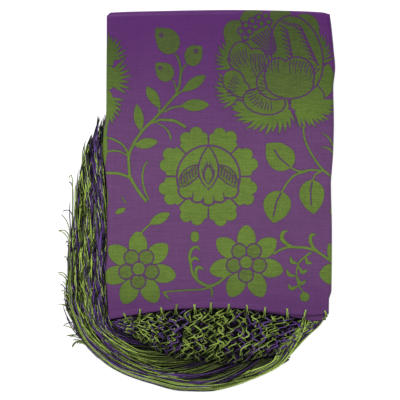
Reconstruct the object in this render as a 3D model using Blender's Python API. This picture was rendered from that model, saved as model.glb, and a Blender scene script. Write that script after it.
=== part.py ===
"""Folded flamenco shawl with its knotted fringe, lying flat.

Sizes are in millimetres and meshes in metres. +X is to the right of the folded cloth, +Y to its
folded far edge and +Z up from the surface it lies on. Its underside is at z = 0.
"""

import math

import bpy
import bmesh
import numpy as np

MM = 0.001
ORIGIN = (-0.35, -0.315, 0.0)  # middle of the whole underside in the tables' measure

# Folded cloth: heights over the floor
PACK_HEIGHT = 12.7
PUFF = 0.9  # how much higher the middle of the pack is than its edge
TOP_WALL = 1.3
SECOND_WALL = 1.2
LAYER_GAP = 0.45
SIDE_ROLL = 3.2  # radius of the fold that the top layer makes at the sides
FAR_ROLL = 4.0
HEM_ROLL = 1.35
ROLL_UNDER = 35.0  # degrees that the top layer turns in under its folds
PACK_CENTRE = (17.5, 27.5)
HALF_WIDTH = 87.5
HALF_DEPTH = 116.0
SIDE_STATIONS = (17, 14, 17, 16)  # points on the left, far, right and hem edges

# Edges of the folded cloth, seen from above: a row for each measured place
LEFT_EDGE = [  # y, x
    (-92.5, -67.3), (-77.4, -68.5), (-58.1, -70.0), (-38.7, -68.9), (0.0, -68.9), (21.7, -70.0),
    (30.2, -71.4), (40.2, -72.0), (51.1, -71.6), (58.8, -70.6), (69.7, -69.5), (92.9, -69.4),
    (123.8, -69.2), (142.6, -69.2),
]
RIGHT_EDGE = [  # y, x
    (-88.2, 102.7), (-77.4, 102.9), (-69.7, 104.9), (-23.2, 105.3), (12.4, 104.5), (23.2, 105.3),
    (38.7, 106.3), (61.9, 106.8), (86.7, 106.3), (102.2, 107.8), (116.1, 106.6), (130.0, 105.3),
    (144.0, 103.7),
]
FAR_EDGE = [  # x, y
    (-69.2, 142.6), (-65.8, 145.2), (-35.6, 146.2), (26.3, 147.2), (72.8, 146.5), (97.5, 145.4),
    (103.7, 144.0),
]
HEM_EDGE = [  # x, y
    (-67.3, -92.5), (-55.0, -90.2), (-42.6, -88.0), (-27.9, -85.9), (-10.1, -84.1), (10.8, -83.6),
    (26.3, -83.6), (44.9, -85.1), (65.0, -87.5), (84.4, -89.4), (102.7, -88.2),
]
SECOND_HEM = [  # x, y
    (-65.3, -90.6), (-42.6, -86.7), (-10.1, -82.8), (10.8, -82.3), (34.1, -82.8), (44.9, -85.4),
    (65.0, -88.7), (80.5, -91.6), (92.1, -93.7), (100.6, -92.9),
]

# Soft creases of the top layer: start, end, half width, rise
CREASES = [  # x0, y0, x1, y1, width, rise
    (47.2, 2.3, 75.1, -51.9, 5.5, -0.45),
    (55.7, 13.9, 82.8, -42.6, 6.0, 0.35),
    (80.5, 23.2, 106.0, -38.7, 6.0, -0.50),
    (89.0, 42.6, 103.7, 18.6, 5.0, -0.40),
    (-48.0, 46.4, -48.0, 7.7, 7.0, -0.30),
    (12.4, -11.6, 32.5, -24.8, 6.0, -0.25),
    (38.7, -71.2, 96.0, -79.7, 6.0, 0.30),
    (-60.4, -77.4, -16.3, -74.3, 6.0, 0.25),
]
TURNED_HEM = 3.9  # width of the narrow turning along the hem
TURNED_HEM_RISE = 0.25

# Folds that show round the pack's edge under the top layer: height and inset of each ring
FOLD_RINGS = [  # z, inset
    (0.0, 2.4), (0.5, 0.8), (1.5, 0.6), (2.0, 2.3), (2.5, 0.7), (3.6, 0.8), (4.1, 2.4),
    (4.6, 1.0), (5.8, 1.2), (6.3, 2.7), (8.3, 3.0),
]

# Cords through the hem: place of each loop on the hem
LOOPS = [  # x, slant of the cord in degrees, reach in over the cloth
    (-55.7, 24.0, 2.7), (-42.9, -6.0, 3.6), (-27.1, 10.0, 2.7), (-14.7, -12.0, 3.6),
    (-1.2, 6.0, 2.9), (11.6, -4.0, 4.0), (25.5, -8.0, 3.0), (39.2, 4.0, 3.2),
    (53.4, -5.0, 3.0), (70.4, 3.0, 4.0), (84.8, -14.0, 4.3), (99.6, 20.0, 2.6),
]
LOOP_WIDTH = 2.0
LOOP_HEIGHT = 0.9

# Knotted net: its upper and lower edges from left to right
NET_EDGES = [  # upper x, upper y, lower x, lower y
    (-65.0, -93.6, -64.2, -97.3), (-50.3, -90.6, -51.1, -104.9), (-34.1, -88.0, -38.7, -112.6),
    (-17.8, -86.0, -25.5, -119.6), (-1.5, -84.9, -11.6, -123.8), (14.7, -84.7, 5.4, -125.4),
    (31.0, -85.2, 20.1, -126.9), (48.0, -87.4, 34.8, -126.2), (65.8, -90.6, 47.2, -123.1),
    (83.6, -93.8, 60.4, -120.7), (99.8, -94.6, 73.5, -119.2),
]
NET_HEM_Z = 11.1
NET_LOW_Z = 8.4
NET_WALL = 1.4
NET_CELLS = 24  # half cells along the hem
SECOND_NET_CELLS = 28
NET_ROWS = 6  # half cells from the hem down
STRUT = 1.7  # width of a knotted cord pair
LEAST_GAP = 4.0
KNOT_RISE = 0.55

# Loose strands: their band's inner and outer edge, from the net's right end to the tips
BAND = [  # inner x, inner y, outer x, outer y
    (73.5, -121.9, 75.9, -122.7), (60.0, -123.1, 67.3, -128.9), (47.1, -125.4, 48.8, -137.0),
    (35.2, -128.6, 29.4, -144.6), (20.1, -129.4, 7.7, -148.9), (5.4, -127.9, -12.4, -148.4),
    (-13.2, -126.3, -34.1, -143.0), (-27.6, -121.8, -49.5, -138.2), (-41.0, -114.8, -64.2, -131.6),
    (-52.6, -107.2, -77.4, -121.5), (-62.5, -101.0, -89.0, -108.0), (-69.7, -92.9, -95.2, -93.7),
    (-71.2, -80.5, -100.2, -77.4), (-72.0, -65.8, -100.6, -58.1), (-71.8, -48.0, -100.2, -38.7),
    (-71.2, -31.0, -99.5, -19.4), (-71.2, -13.9, -99.1, 0.0), (-71.7, 3.1, -99.1, 17.0),
    (-72.9, 19.4, -99.1, 31.0), (-74.0, 34.8, -99.1, 44.1), (-73.5, 50.3, -99.1, 54.2),
    (-71.5, 68.1, -99.1, 68.1),
]
REACH = [  # place across the band, furthest station that its strands reach
    (0.0, 20.8), (0.08, 20.6), (0.14, 19.9), (0.3, 19.6), (0.44, 19.0), (0.61, 18.2),
    (0.72, 17.2), (0.85, 15.6), (0.93, 13.4), (1.0, 11.0),
]
STRAY_TIPS = [  # column, x, y, z of the tip
    (3, -95.2, -115.3, 4.0), (7, -103.7, -97.5, 3.5), (11, -107.6, -81.3, 3.0),
    (17, -108.1, -56.5, 3.5), (23, -108.1, -24.0, 3.0), (29, -104.5, -9.3, 3.5),
    (35, -92.1, 32.5, 4.0),
]
STRIP_COLUMNS = 46
STRIP_ROWS = 5  # the last row holds the stray strands
STRIP_ENDS = (0.15, 10.0)  # stations of the band where the strip starts and ends
STRIP_PARTING = 0.35
STRIP_THICKNESS = 1.0
ROW_PITCH = 1.95
LOCK_WIDTH = 0.8
LOCK_HEIGHT = 1.35
FLOOR_GAP = 0.35

COLOURS = {  # base colour and roughness of each material
    "cloth": ((0.128, 0.065, 0.150), 0.45),
    "fringe": ((0.110, 0.160, 0.050), 0.55),
}


def spline(rows, at):
    """Smooth values of every column of a table at the given rows' first column."""
    table = np.asarray(rows, float)
    knots = table[:, 0]
    values = table[:, 1:]
    secants = np.diff(values, axis=0) / np.diff(knots)[:, None]
    before, after = secants[:-1], secants[1:]
    even = before * after > 0
    slopes = np.vstack([
        secants[:1],
        np.where(even, 2 * before * after / np.where(even, before + after, 1.0), 0.0),
        secants[-1:],
    ])
    at = np.clip(np.asarray(at, float), knots[0], knots[-1])
    cell = np.clip(np.searchsorted(knots, at, side="right") - 1, 0, len(knots) - 2)
    span = knots[cell + 1] - knots[cell]
    part = ((at - knots[cell]) / span)[:, None]
    span = span[:, None]
    low, high = values[cell], values[cell + 1]
    return (
        (2 * part**3 - 3 * part**2 + 1) * low
        + (part**3 - 2 * part**2 + part) * span * slopes[cell]
        + (3 * part**2 - 2 * part**3) * high
        + (part**3 - part**2) * span * slopes[cell + 1]
    )


def along(rows, stations):
    """Values of a table without a key column at whole or broken row numbers."""
    keyed = [(index, *row) for index, row in enumerate(rows)]
    return spline(keyed, stations)


def clustered(count):
    """Shares from 0 up to but not including 1, closer together near both ends."""
    return 0.5 - 0.5 * np.cos(np.pi * np.arange(count) / count)


def outline(left, far, right, hem, corner=2.2):
    """Closed outline as points in order left edge, far edge, right edge, hem, with round corners."""
    dense = 120
    run = np.linspace(0.0, 1.0, dense, endpoint=False)

    def upright(rows, ends):
        at = ends[0] + (ends[1] - ends[0]) * run
        return np.column_stack([spline(rows, at)[:, 0], at])

    def level(rows, ends):
        at = ends[0] + (ends[1] - ends[0]) * run
        return np.column_stack([at, spline(rows, at)[:, 0]])

    points = np.vstack([
        upright(left, (left[0][0], left[-1][0])),
        level(far, (far[0][0], far[-1][0])),
        upright(right, (right[-1][0], right[0][0])),
        level(hem, (hem[-1][0], hem[0][0])),
    ])
    steps = np.linalg.norm(np.roll(points, -1, axis=0) - points, axis=1)
    length = np.concatenate([[0.0], np.cumsum(steps)])
    closed = np.vstack([points, points[:1]])
    even = np.linspace(0.0, length[-1], 1600, endpoint=False)
    smooth = np.column_stack([np.interp(even, length, closed[:, axis]) for axis in (0, 1)])
    spread = np.arange(-12, 13) * length[-1] / 1600
    weight = np.exp(-0.5 * (spread / (corner / 2)) ** 2)
    weight /= weight.sum()
    rolled = np.stack([np.roll(smooth, -shift, axis=0) for shift in range(-12, 13)])
    smooth = np.tensordot(weight, rolled, axes=1)
    corners = length[[0, dense, 2 * dense, 3 * dense, 4 * dense]]
    at = np.concatenate([
        corners[side] + (corners[side + 1] - corners[side]) * clustered(count)
        for side, count in enumerate(SIDE_STATIONS)
    ])
    edge = np.repeat(np.arange(4), SIDE_STATIONS)
    index = (at / length[-1] * 1600).astype(int) % 1600
    return smooth[index], edge


def inset(points, distance):
    """Points moved in towards the middle of the pack, by a distance that can differ for each."""
    middle = np.asarray(PACK_CENTRE)
    share = 1.0 - np.asarray(distance)[..., None] / np.array([HALF_WIDTH, HALF_DEPTH])
    return middle + (points - middle) * share


def smooth_height(points):
    """Height of the pack's upper side without creases."""
    x = (points[..., 0] - PACK_CENTRE[0]) / HALF_WIDTH
    y = (points[..., 1] - PACK_CENTRE[1]) / HALF_DEPTH
    return PACK_HEIGHT + PUFF * (1 - np.clip(x, -1, 1) ** 2) * (1 - np.clip(y, -1, 1) ** 2)


def crease_height(points):
    """Rise of the top layer's soft creases and of its turned hem."""
    rise = np.zeros(points.shape[:-1])
    for x0, y0, x1, y1, width, height in CREASES:
        start = np.array([x0, y0])
        run = np.array([x1 - x0, y1 - y0])
        part = np.clip(((points - start) @ run) / (run @ run), 0, 1)
        away = np.linalg.norm(points - (start + part[..., None] * run), axis=-1)
        rise += height * np.exp(-((away / width) ** 2)) * np.sin(np.pi * (0.1 + 0.8 * part))
    hem = spline(HEM_EDGE, points[..., 0].reshape(-1))[:, 0].reshape(points.shape[:-1])
    inside = points[..., 1] - hem
    return rise + TURNED_HEM_RISE * np.exp(-(((inside - TURNED_HEM) / 1.6) ** 4))


def mesh_object(name, points, faces, material):
    """Named object from points in millimetres, its faces turned outward."""
    mesh = bpy.data.meshes.new(name)
    mesh.from_pydata(((np.asarray(points) - ORIGIN) * MM).tolist(), [], faces)
    shape = bmesh.new()
    shape.from_mesh(mesh)
    bmesh.ops.recalc_face_normals(shape, faces=shape.faces)
    if shape.calc_volume(signed=True) < 0:
        bmesh.ops.reverse_faces(shape, faces=shape.faces)
    bmesh.ops.triangulate(shape, faces=shape.faces, quad_method="SHORT_EDGE")
    shape.to_mesh(mesh)
    shape.free()
    mesh.materials.append(material)
    made = bpy.data.objects.new(name, mesh)
    bpy.context.collection.objects.link(made)
    return made


def material_of(name):
    colour, roughness = COLOURS[name]
    made = bpy.data.materials.new(name)
    made.use_nodes = True
    shader = made.node_tree.nodes["Principled BSDF"]
    shader.inputs["Base Color"].default_value = (*colour, 1.0)
    shader.inputs["Roughness"].default_value = roughness
    return made


def ring_solid(name, rings, material):
    """Closed solid through rings of equal length, with a flat cap on the first and last."""
    rings = np.asarray(rings)
    count, size = rings.shape[:2]
    faces = []
    for ring in range(count - 1):
        for spot in range(size):
            after = (spot + 1) % size
            faces.append((
                ring * size + spot, ring * size + after,
                (ring + 1) * size + after, (ring + 1) * size + spot,
            ))
    faces.append(tuple(range(size))[::-1])
    faces.append(tuple((count - 1) * size + spot for spot in range(size)))
    return mesh_object(name, rings.reshape(-1, 3), faces, material)


def fold_radii(points, edge, radii, under):
    """Radius and turn under of the fold at each point: side folds fade out towards the hem."""
    rise = np.clip((points[:, 1] - points[:, 1].min() - 5.0) / 14.0, 0, 1)
    fade = np.where(edge == 3, 0.0, rise * rise * (3 - 2 * rise))
    radius = radii[3] + (np.asarray(radii)[edge] - radii[3]) * fade
    kernel = [0.25, 0.5, 0.25]
    radius = np.convolve(np.concatenate([radius[-1:], radius, radius[:1]]), kernel, "valid")
    return np.where(fade > 0, radius, radii[3]), under * fade


def wall_rings(points, folds, wall, lowered, shares, steps, creased):
    """Rings of a cloth wall: from the middle of its outer side, over its edge, back inside."""
    radius, turn = folds
    outer = []
    inner = []
    for share in shares:
        flat = inset(points, radius)
        flat = np.asarray(PACK_CENTRE) + (flat - np.asarray(PACK_CENTRE)) * share
        height = smooth_height(flat) - lowered
        raised = height + (crease_height(flat) if creased else 0.0)
        outer.append(np.column_stack([flat, raised]))
        inner.append(np.column_stack([flat, height - wall]))
    base = smooth_height(inset(points, radius)) - lowered - radius
    for step in range(1, steps + 1):
        angle = np.radians(90.0 - (90.0 + turn) * step / steps)
        for rings, size in ((outer, radius), (inner, radius - wall)):
            flat = inset(points, radius - size * np.cos(angle))
            rings.append(np.column_stack([flat, base + size * np.sin(angle)]))
    return outer + inner[::-1]


def lattice(name, cells, rows, place, knot_rise, open_top, material):
    """Net wall of diamond cells in a sheet, each gap cut through where it is wide enough.

    place(u, v) gives points of the sheet, their upper height and their lower height.
    """
    points = []
    index = {}

    def vertex(key, u, v, lift):
        if key not in index:
            x, y, high, low = place(u, v)
            index[key] = len(points) // 2
            points.extend([(x, y, high + lift), (x, y, low)])
        return index[key]

    def flat(corner):
        return np.array(place(corner[0] / cells, corner[1] / rows)[:2])

    faces = []
    sides = {}
    for i in range(cells + 1):
        for j in range(rows + 1):
            if (i + j) % 2 == 0:
                continue
            around = [(i - 1, j), (i, j - 1), (i + 1, j), (i, j + 1)]
            corners = [c for c in around if 0 <= c[0] <= cells and 0 <= c[1] <= rows]
            ids = []
            for ci, cj in corners:
                border = ci in (0, cells) or cj in (0, rows)
                ids.append(vertex((ci, cj), ci / cells, cj / rows, 0.0 if border else knot_rise))
            size = len(corners)
            flats = np.array([flat(c) for c in corners])
            centre = flats.mean(axis=0)
            reach = min(
                abs(np.cross(flats[(k + 1) % size] - flats[k], centre - flats[k]))
                / np.linalg.norm(flats[(k + 1) % size] - flats[k])
                for k in range(size)
            )
            whole = size == 4 or (open_top and j == 0)
            if not whole or 2 * (reach - STRUT / 2) < LEAST_GAP * 0.8:
                faces.append([2 * k for k in ids])
                faces.append([2 * k + 1 for k in ids][::-1])
                hole = None
            else:
                share = 1 - STRUT / 2 / reach
                hole = []
                mid = np.array(corners, float).mean(axis=0)
                for ci, cj in corners:
                    spot = mid + (np.array([ci, cj]) - mid) * share
                    key = (i, j, ci, cj)
                    hole.append(vertex(key, spot[0] / cells, spot[1] / rows, 0.0))
                for k in range(size):
                    n = (k + 1) % size
                    faces.append([2 * ids[k], 2 * ids[n], 2 * hole[n], 2 * hole[k]])
                    faces.append([2 * ids[n] + 1, 2 * ids[k] + 1, 2 * hole[k] + 1, 2 * hole[n] + 1])
                    faces.append([2 * hole[k], 2 * hole[n], 2 * hole[n] + 1, 2 * hole[k] + 1])
            for k in range(size):
                n = (k + 1) % size
                key = tuple(sorted((ids[k], ids[n])))
                sides[key] = sides.get(key, 0) + 1
    for (a, b), uses in sides.items():
        if uses == 1:
            faces.append([2 * a, 2 * b, 2 * b + 1, 2 * a + 1])
    return mesh_object(name, points, faces, material)


def net_place(rise, wall):
    """Placing function of a net layer, a distance below the highest one."""

    def place(u, v):
        row = along(NET_EDGES, [u * (len(NET_EDGES) - 1)])[0]
        x = row[0] + (row[2] - row[0]) * v
        y = row[1] + (row[3] - row[1]) * v
        high = NET_HEM_Z + (NET_LOW_Z - NET_HEM_Z) * v - rise + 0.5 * math.sin(math.pi * v)
        return x, y, high, high - wall

    return place


def net_core(material):
    """Hidden net layers as one solid under the two that are cut through."""
    high = net_place(2 * (NET_WALL + LAYER_GAP) + 0.1, 1.0)
    columns, rows = 16, 4
    faces = []
    points = []
    for i in range(columns + 1):
        for j in range(rows + 1):
            u = 0.012 + 0.976 * i / columns
            v = 0.03 + 0.94 * j / rows
            x, y, z, _ = high(u, v)
            edge = i in (0, columns) or j in (0, rows)
            points.append((x, y, z - (1.2 if edge else 0.0)))
    top = len(points)
    for i in range(columns + 1):
        for j in range(rows + 1):
            points.append((points[i * (rows + 1) + j][0], points[i * (rows + 1) + j][1], 0.0))

    def at(i, j, base=0):
        return base + i * (rows + 1) + j

    for i in range(columns):
        for j in range(rows):
            faces.append((at(i, j), at(i + 1, j), at(i + 1, j + 1), at(i, j + 1)))
    loop = [(i, 0) for i in range(columns)] + [(columns, j) for j in range(rows)]
    loop += [(i, rows) for i in range(columns, 0, -1)] + [(0, j) for j in range(rows, 0, -1)]
    for k, (i, j) in enumerate(loop):
        n, m = loop[(k + 1) % len(loop)]
        faces.append((at(i, j), at(n, m), at(n, m, top), at(i, j, top)))
    faces.append(tuple(at(i, j, top) for i, j in loop))
    used = sorted({v for face in faces for v in face})
    place = {v: k for k, v in enumerate(used)}
    kept = [points[v] for v in used]
    return mesh_object("fringe_net_core", kept, [[place[v] for v in f] for f in faces], material)


def hem_loop(number, x, slant, reach, material):
    """Short cord from its hole near the hem, over the hem's edge towards the net."""
    hem = spline(HEM_EDGE, [x])[0, 0]
    top = smooth_height(np.array([x, hem + 2.0])) + TURNED_HEM_RISE
    lean = math.tan(math.radians(slant))
    stations = [  # distance out from the hem's edge, height over the cloth, share of full width
        (-reach - 0.6, 0.55, 0.45), (-reach + 0.5, 0.95, 0.9), (-0.8, 0.95, 1.0),
        (1.0, 0.65, 1.0), (2.3, 0.15, 0.7),
    ]
    points = []
    faces = []
    for out, lift, share in stations:
        middle = np.array([x + lean * (out + reach), hem - out, top + lift])
        for side, up in ((-1, -1), (1, -1), (1, 1), (-1, 1)):
            half = np.array([side * LOOP_WIDTH / 2 * share, 0, up * LOOP_HEIGHT / 2 * share])
            points.append(middle + half)
    for ring in range(len(stations) - 1):
        for k in range(4):
            n = (k + 1) % 4
            faces.append((4 * ring + k, 4 * ring + n, 4 * ring + 4 + n, 4 * ring + 4 + k))
    faces.append((0, 1, 2, 3))
    last = 4 * (len(stations) - 1)
    faces.append((last, last + 1, last + 2, last + 3))
    return mesh_object(f"fringe_loop_{number:02d}", points, faces, material)


def wobble(column, row, seed):
    """Repeatable value from -1 to 1 for one lock."""
    return math.sin(12.9898 * (column + 1) + 78.233 * (row + 1) + 37.719 * seed)


def strip_edge(stations, distance):
    """Points a distance out from the net's lower edge, and the outward direction there."""
    count = len(NET_EDGES) - 1
    rows = [NET_EDGES[count - k][2:] for k in range(count + 1)]
    here = along(rows, stations)
    ahead = along(rows, np.clip(np.asarray(stations) + 0.05, 0, count))
    behind = along(rows, np.clip(np.asarray(stations) - 0.05, 0, count))
    run = ahead - behind
    run /= np.linalg.norm(run, axis=1)[:, None]
    out = np.column_stack([-run[:, 1], run[:, 0]])
    return here + out * distance, out


def lock_path(root, place, far):
    """Stations and places across the band from a lock's root to its tip."""
    stations = np.arange(root + 0.35, far, 1.42)
    if far - stations[-1] > 0.5:
        stations = np.append(stations, far)
    ease = 3.4 - 2.2 * root / 10.0
    share = place * np.sin(np.pi / 2 * np.clip((stations - root) / ease, 0, 1))
    rows = along(BAND, stations)
    return stations, share, rows[:, :2] + (rows[:, 2:] - rows[:, :2]) * share[:, None]


def fringe_strands(material):
    """Strip along the net's lower edge with the loose locks drawn out of its outer face."""
    columns, rows = STRIP_COLUMNS, STRIP_ROWS
    stations = np.linspace(*STRIP_ENDS, columns + 1)
    near, _ = strip_edge(stations, STRIP_PARTING)
    away, out = strip_edge(stations, STRIP_PARTING + STRIP_THICKNESS)
    heights = FLOOR_GAP + 0.1 + ROW_PITCH * np.arange(rows + 1) * np.where(
        np.arange(rows + 1) == rows, 0.92, 1.0
    )
    points = []
    faces = []

    def add(x, y, z):
        points.append((x, y, z))
        return len(points) - 1

    face_ids = [[add(*away[c], heights[m]) for m in range(rows + 1)] for c in range(columns + 1)]
    low_ids = [add(*near[c], heights[0]) for c in range(columns + 1)]
    high_ids = [add(*near[c], heights[-1]) for c in range(columns + 1)]
    for c in range(columns):
        faces.append((low_ids[c], low_ids[c + 1], high_ids[c + 1], high_ids[c]))
        faces.append((low_ids[c], low_ids[c + 1], face_ids[c + 1][0], face_ids[c][0]))
        faces.append((high_ids[c], high_ids[c + 1], face_ids[c + 1][rows], face_ids[c][rows]))
    faces.append((low_ids[0], *face_ids[0], high_ids[0]))
    faces.append((low_ids[columns], *face_ids[columns], high_ids[columns]))
    reach = {column: (x, y, z) for column, x, y, z in STRAY_TIPS}
    for c in range(columns):
        for m in range(rows):
            root_ids = [
                face_ids[c][m], face_ids[c + 1][m], face_ids[c + 1][m + 1], face_ids[c][m + 1],
            ]
            stray = reach.get(c) if m == rows - 1 else None
            plain = (c + m) % 2 == 0 or c == 0 or c == columns - 1
            if (m == rows - 1 and stray is None) or (m < rows - 1 and plain):
                faces.append(root_ids)
                continue
            add_lock(points, faces, root_ids, stations[c : c + 2].mean(), c, m, stray)
    mesh_object("fringe_strands", points, faces, material)


def add_lock(points, faces, root_ids, root, column, row, stray):
    """One lock of the fringe: square rings along its path, joined to its root."""
    columns = STRIP_COLUMNS
    place = 0.02 + 0.96 * (1 - (column + 0.5) / columns)
    limit = spline(REACH, [place])[0, 0]
    short = 0.5 + 0.5 * wobble(column, row, 3)
    far = limit - (0.2 + 2.6 * short**2) * (0.35 + 0.65 * place)
    far = max(far, root + 3.5)
    if stray is not None:
        tip = np.array(stray[:2])
        row_at = along(BAND, np.arange(0, 21, 0.1))
        lane = row_at[:, :2] + (row_at[:, 2:] - row_at[:, :2]) * place
        nearest = np.argmin(np.linalg.norm(lane - tip, axis=1)) * 0.1
        far = max(nearest - 1.6, root + 2.0)
    _, share, path = lock_path(root, place, far)
    level = FLOOR_GAP + 0.1 + ROW_PITCH * (row + 0.5)
    lowered = 1 - 0.30 * share**3
    z = FLOOR_GAP + (level - FLOOR_GAP) * lowered
    half_high = LOCK_HEIGHT / 2 * lowered
    if stray is not None:
        last = np.array([*path[-1]])
        for part in (0.5, 1.0):
            bend = last + (tip - last) * part
            sag = math.sin(math.pi * part) * 1.5
            path = np.vstack([path, bend + np.array([-sag, sag])])
        z = np.append(z, [z[-1] - 1.0, stray[2]])
        half_high = np.append(half_high, [0.45, 0.3])
    run = np.gradient(path, axis=0)
    run /= np.linalg.norm(run, axis=1)[:, None]
    side = np.column_stack([run[:, 1], -run[:, 0]])
    count = len(path)
    width = np.full(count, LOCK_WIDTH / 2)
    width[-1] = 0.16
    if count > 2:
        width[-2] = 0.30
    half_high = half_high.copy()
    half_high[-1] = 0.18
    z[-1] -= 0.2 * lowered[-1]
    before = root_ids
    for k in range(count):
        ring = []
        for across, up in ((-1, -1), (1, -1), (1, 1), (-1, 1)):
            spot = path[k] + side[k] * across * width[k]
            points.append((spot[0], spot[1], max(FLOOR_GAP, z[k] + up * half_high[k])))
            ring.append(len(points) - 1)
        for k4 in range(4):
            n4 = (k4 + 1) % 4
            faces.append((before[k4], before[n4], ring[n4], ring[k4]))
        before = ring
    faces.append(tuple(before))


def main():
    for old in list(bpy.data.objects):
        bpy.data.objects.remove(old, do_unlink=True)
    cloth = material_of("cloth")
    fringe = material_of("fringe")

    top, edge = outline(LEFT_EDGE, FAR_EDGE, RIGHT_EDGE, HEM_EDGE)
    shares = (0.06, 0.22, 0.38, 0.54, 0.70, 0.84, 0.94, 1.0)
    radii = (SIDE_ROLL, FAR_ROLL, SIDE_ROLL, HEM_ROLL)
    folds = fold_radii(top, edge, radii, ROLL_UNDER)
    rings = wall_rings(top, folds, TOP_WALL, 0.0, shares, 4, True)
    ring_solid("cloth_top_layer", rings, cloth)

    second = inset(top, np.where(edge == 1, 2.8, 2.3))
    on_hem = edge == 3
    second[on_hem, 1] = spline(SECOND_HEM, second[on_hem, 0])[:, 0]
    lowered = TOP_WALL + LAYER_GAP
    folds = fold_radii(second, edge, (HEM_ROLL,) * 4, 0.0)
    rings = wall_rings(second, folds, SECOND_WALL, lowered, (0.5, 1.0), 2, False)
    ring_solid("cloth_second_layer", rings, cloth)

    core = [np.column_stack([inset(top, np.full(len(top), step)), np.full(len(top), z)])
            for z, step in FOLD_RINGS]
    under_second = lowered + SECOND_WALL + LAYER_GAP
    for step in (4.2, 40.0):
        flat = inset(top, np.full(len(top), step))
        core.append(np.column_stack([flat, smooth_height(flat) - under_second]))
    ring_solid("cloth_core", core, cloth)

    for number, (x, slant, reach) in enumerate(LOOPS, start=1):
        hem_loop(number, x, slant, reach, fringe)
    place = net_place(0.0, NET_WALL)
    lattice("fringe_net_top", NET_CELLS, NET_ROWS, place, KNOT_RISE, True, fringe)
    drop = NET_WALL + LAYER_GAP
    place = net_place(drop + 0.1, NET_WALL - 0.1)
    lattice("fringe_net_second", SECOND_NET_CELLS, NET_ROWS, place, 0.0, False, fringe)
    net_core(fringe)
    fringe_strands(fringe)


main()
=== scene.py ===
"""Looks of the folded flamenco shawl: woven cloth, knotted net and loose fringe.

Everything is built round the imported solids, in their frame: metres, +Z up from the surface that
the shawl lies on, +Y towards the folded far edge. Tables are in millimetres. The woven flowers
are drawn in chart squares of 0.774 mm, counted right and down as on a weaver's chart.
"""

import logging
import math
from collections.abc import Callable, Sequence
from dataclasses import dataclass
from enum import Enum

import bpy
import numpy as np
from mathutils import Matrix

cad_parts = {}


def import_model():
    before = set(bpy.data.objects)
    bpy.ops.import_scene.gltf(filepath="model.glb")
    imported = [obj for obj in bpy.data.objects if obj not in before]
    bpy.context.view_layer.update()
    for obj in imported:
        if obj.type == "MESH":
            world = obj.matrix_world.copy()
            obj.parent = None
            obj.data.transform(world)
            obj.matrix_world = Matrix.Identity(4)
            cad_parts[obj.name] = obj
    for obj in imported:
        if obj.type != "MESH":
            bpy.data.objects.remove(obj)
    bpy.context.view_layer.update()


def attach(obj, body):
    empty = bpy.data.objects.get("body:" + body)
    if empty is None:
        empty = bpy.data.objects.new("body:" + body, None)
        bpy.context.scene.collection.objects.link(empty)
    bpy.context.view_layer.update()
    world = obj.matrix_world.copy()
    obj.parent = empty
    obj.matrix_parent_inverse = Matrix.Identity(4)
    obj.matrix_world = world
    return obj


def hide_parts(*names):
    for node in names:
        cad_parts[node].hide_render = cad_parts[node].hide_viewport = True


LOG = logging.getLogger("shawl")
MM = 0.001
BODY = "root"
ORIGIN = np.array([-0.35, -0.315, 0.0])
CHART_SQUARE = 0.774
CHART_ZERO = np.array([196.0, 200.0])
PACK_TOP = 12.7  # height of the folded pack at its rim
PACK_SIZE = (175.0, 237.0)
PACK_MIDDLE = (17.5, 27.5)
PACK_HALF = (87.5, 116.0)
GROUND = -6.0  # woven depth where there is no motif
TURN = 6.3  # random starts of waves lie between 0 and about a whole turn

Point = tuple[float, float]
Colour = tuple[float, float, float, float]
Cords = tuple[np.ndarray, np.ndarray, np.ndarray]  # paths, radii and tones with painted shade, or points, faces and such tones

LEFT_EDGE = [  # y, x
    (-92.5, -67.3), (-77.4, -68.5), (-58.1, -70.0), (-38.7, -68.9), (0.0, -68.9), (21.7, -70.0),
    (30.2, -71.4), (40.2, -72.0), (51.1, -71.6), (58.8, -70.6), (69.7, -69.5), (92.9, -69.4),
    (123.8, -69.2), (142.6, -69.2),
]
RIGHT_EDGE = [  # y, x
    (-88.2, 102.7), (-77.4, 102.9), (-69.7, 104.9), (-23.2, 105.3), (12.4, 104.5), (23.2, 105.3),
    (38.7, 106.3), (61.9, 106.8), (86.7, 106.3), (102.2, 107.8), (116.1, 106.6), (130.0, 105.3),
    (144.0, 103.7),
]
FAR_EDGE = [  # x, y
    (-69.2, 142.6), (-65.8, 145.2), (-35.6, 146.2), (26.3, 147.2), (72.8, 146.5), (97.5, 145.4),
    (103.7, 144.0),
]
HEM_EDGE = [  # x, y
    (-67.3, -92.5), (-55.0, -90.2), (-42.6, -88.0), (-27.9, -85.9), (-10.1, -84.1), (10.8, -83.6),
    (26.3, -83.6), (44.9, -85.1), (65.0, -87.5), (84.4, -89.4), (102.7, -88.2),
]
SECOND_HEM = [  # x, y
    (-65.3, -90.6), (-42.6, -86.7), (-10.1, -82.8), (10.8, -82.3), (34.1, -82.8), (44.9, -85.4),
    (65.0, -88.7), (80.5, -91.6), (92.1, -93.7), (100.6, -92.9),
]
CREASES = [  # x0, y0, x1, y1, width, rise
    (47.2, 2.3, 75.1, -51.9, 5.5, -0.45),
    (55.7, 13.9, 82.8, -42.6, 6.0, 0.35),
    (80.5, 23.2, 106.0, -38.7, 6.0, -0.50),
    (89.0, 42.6, 103.7, 18.6, 5.0, -0.40),
    (-48.0, 46.4, -48.0, 7.7, 7.0, -0.30),
    (12.4, -11.6, 32.5, -24.8, 6.0, -0.25),
    (38.7, -71.2, 96.0, -79.7, 6.0, 0.30),
    (-60.4, -77.4, -16.3, -74.3, 6.0, 0.25),
]
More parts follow.
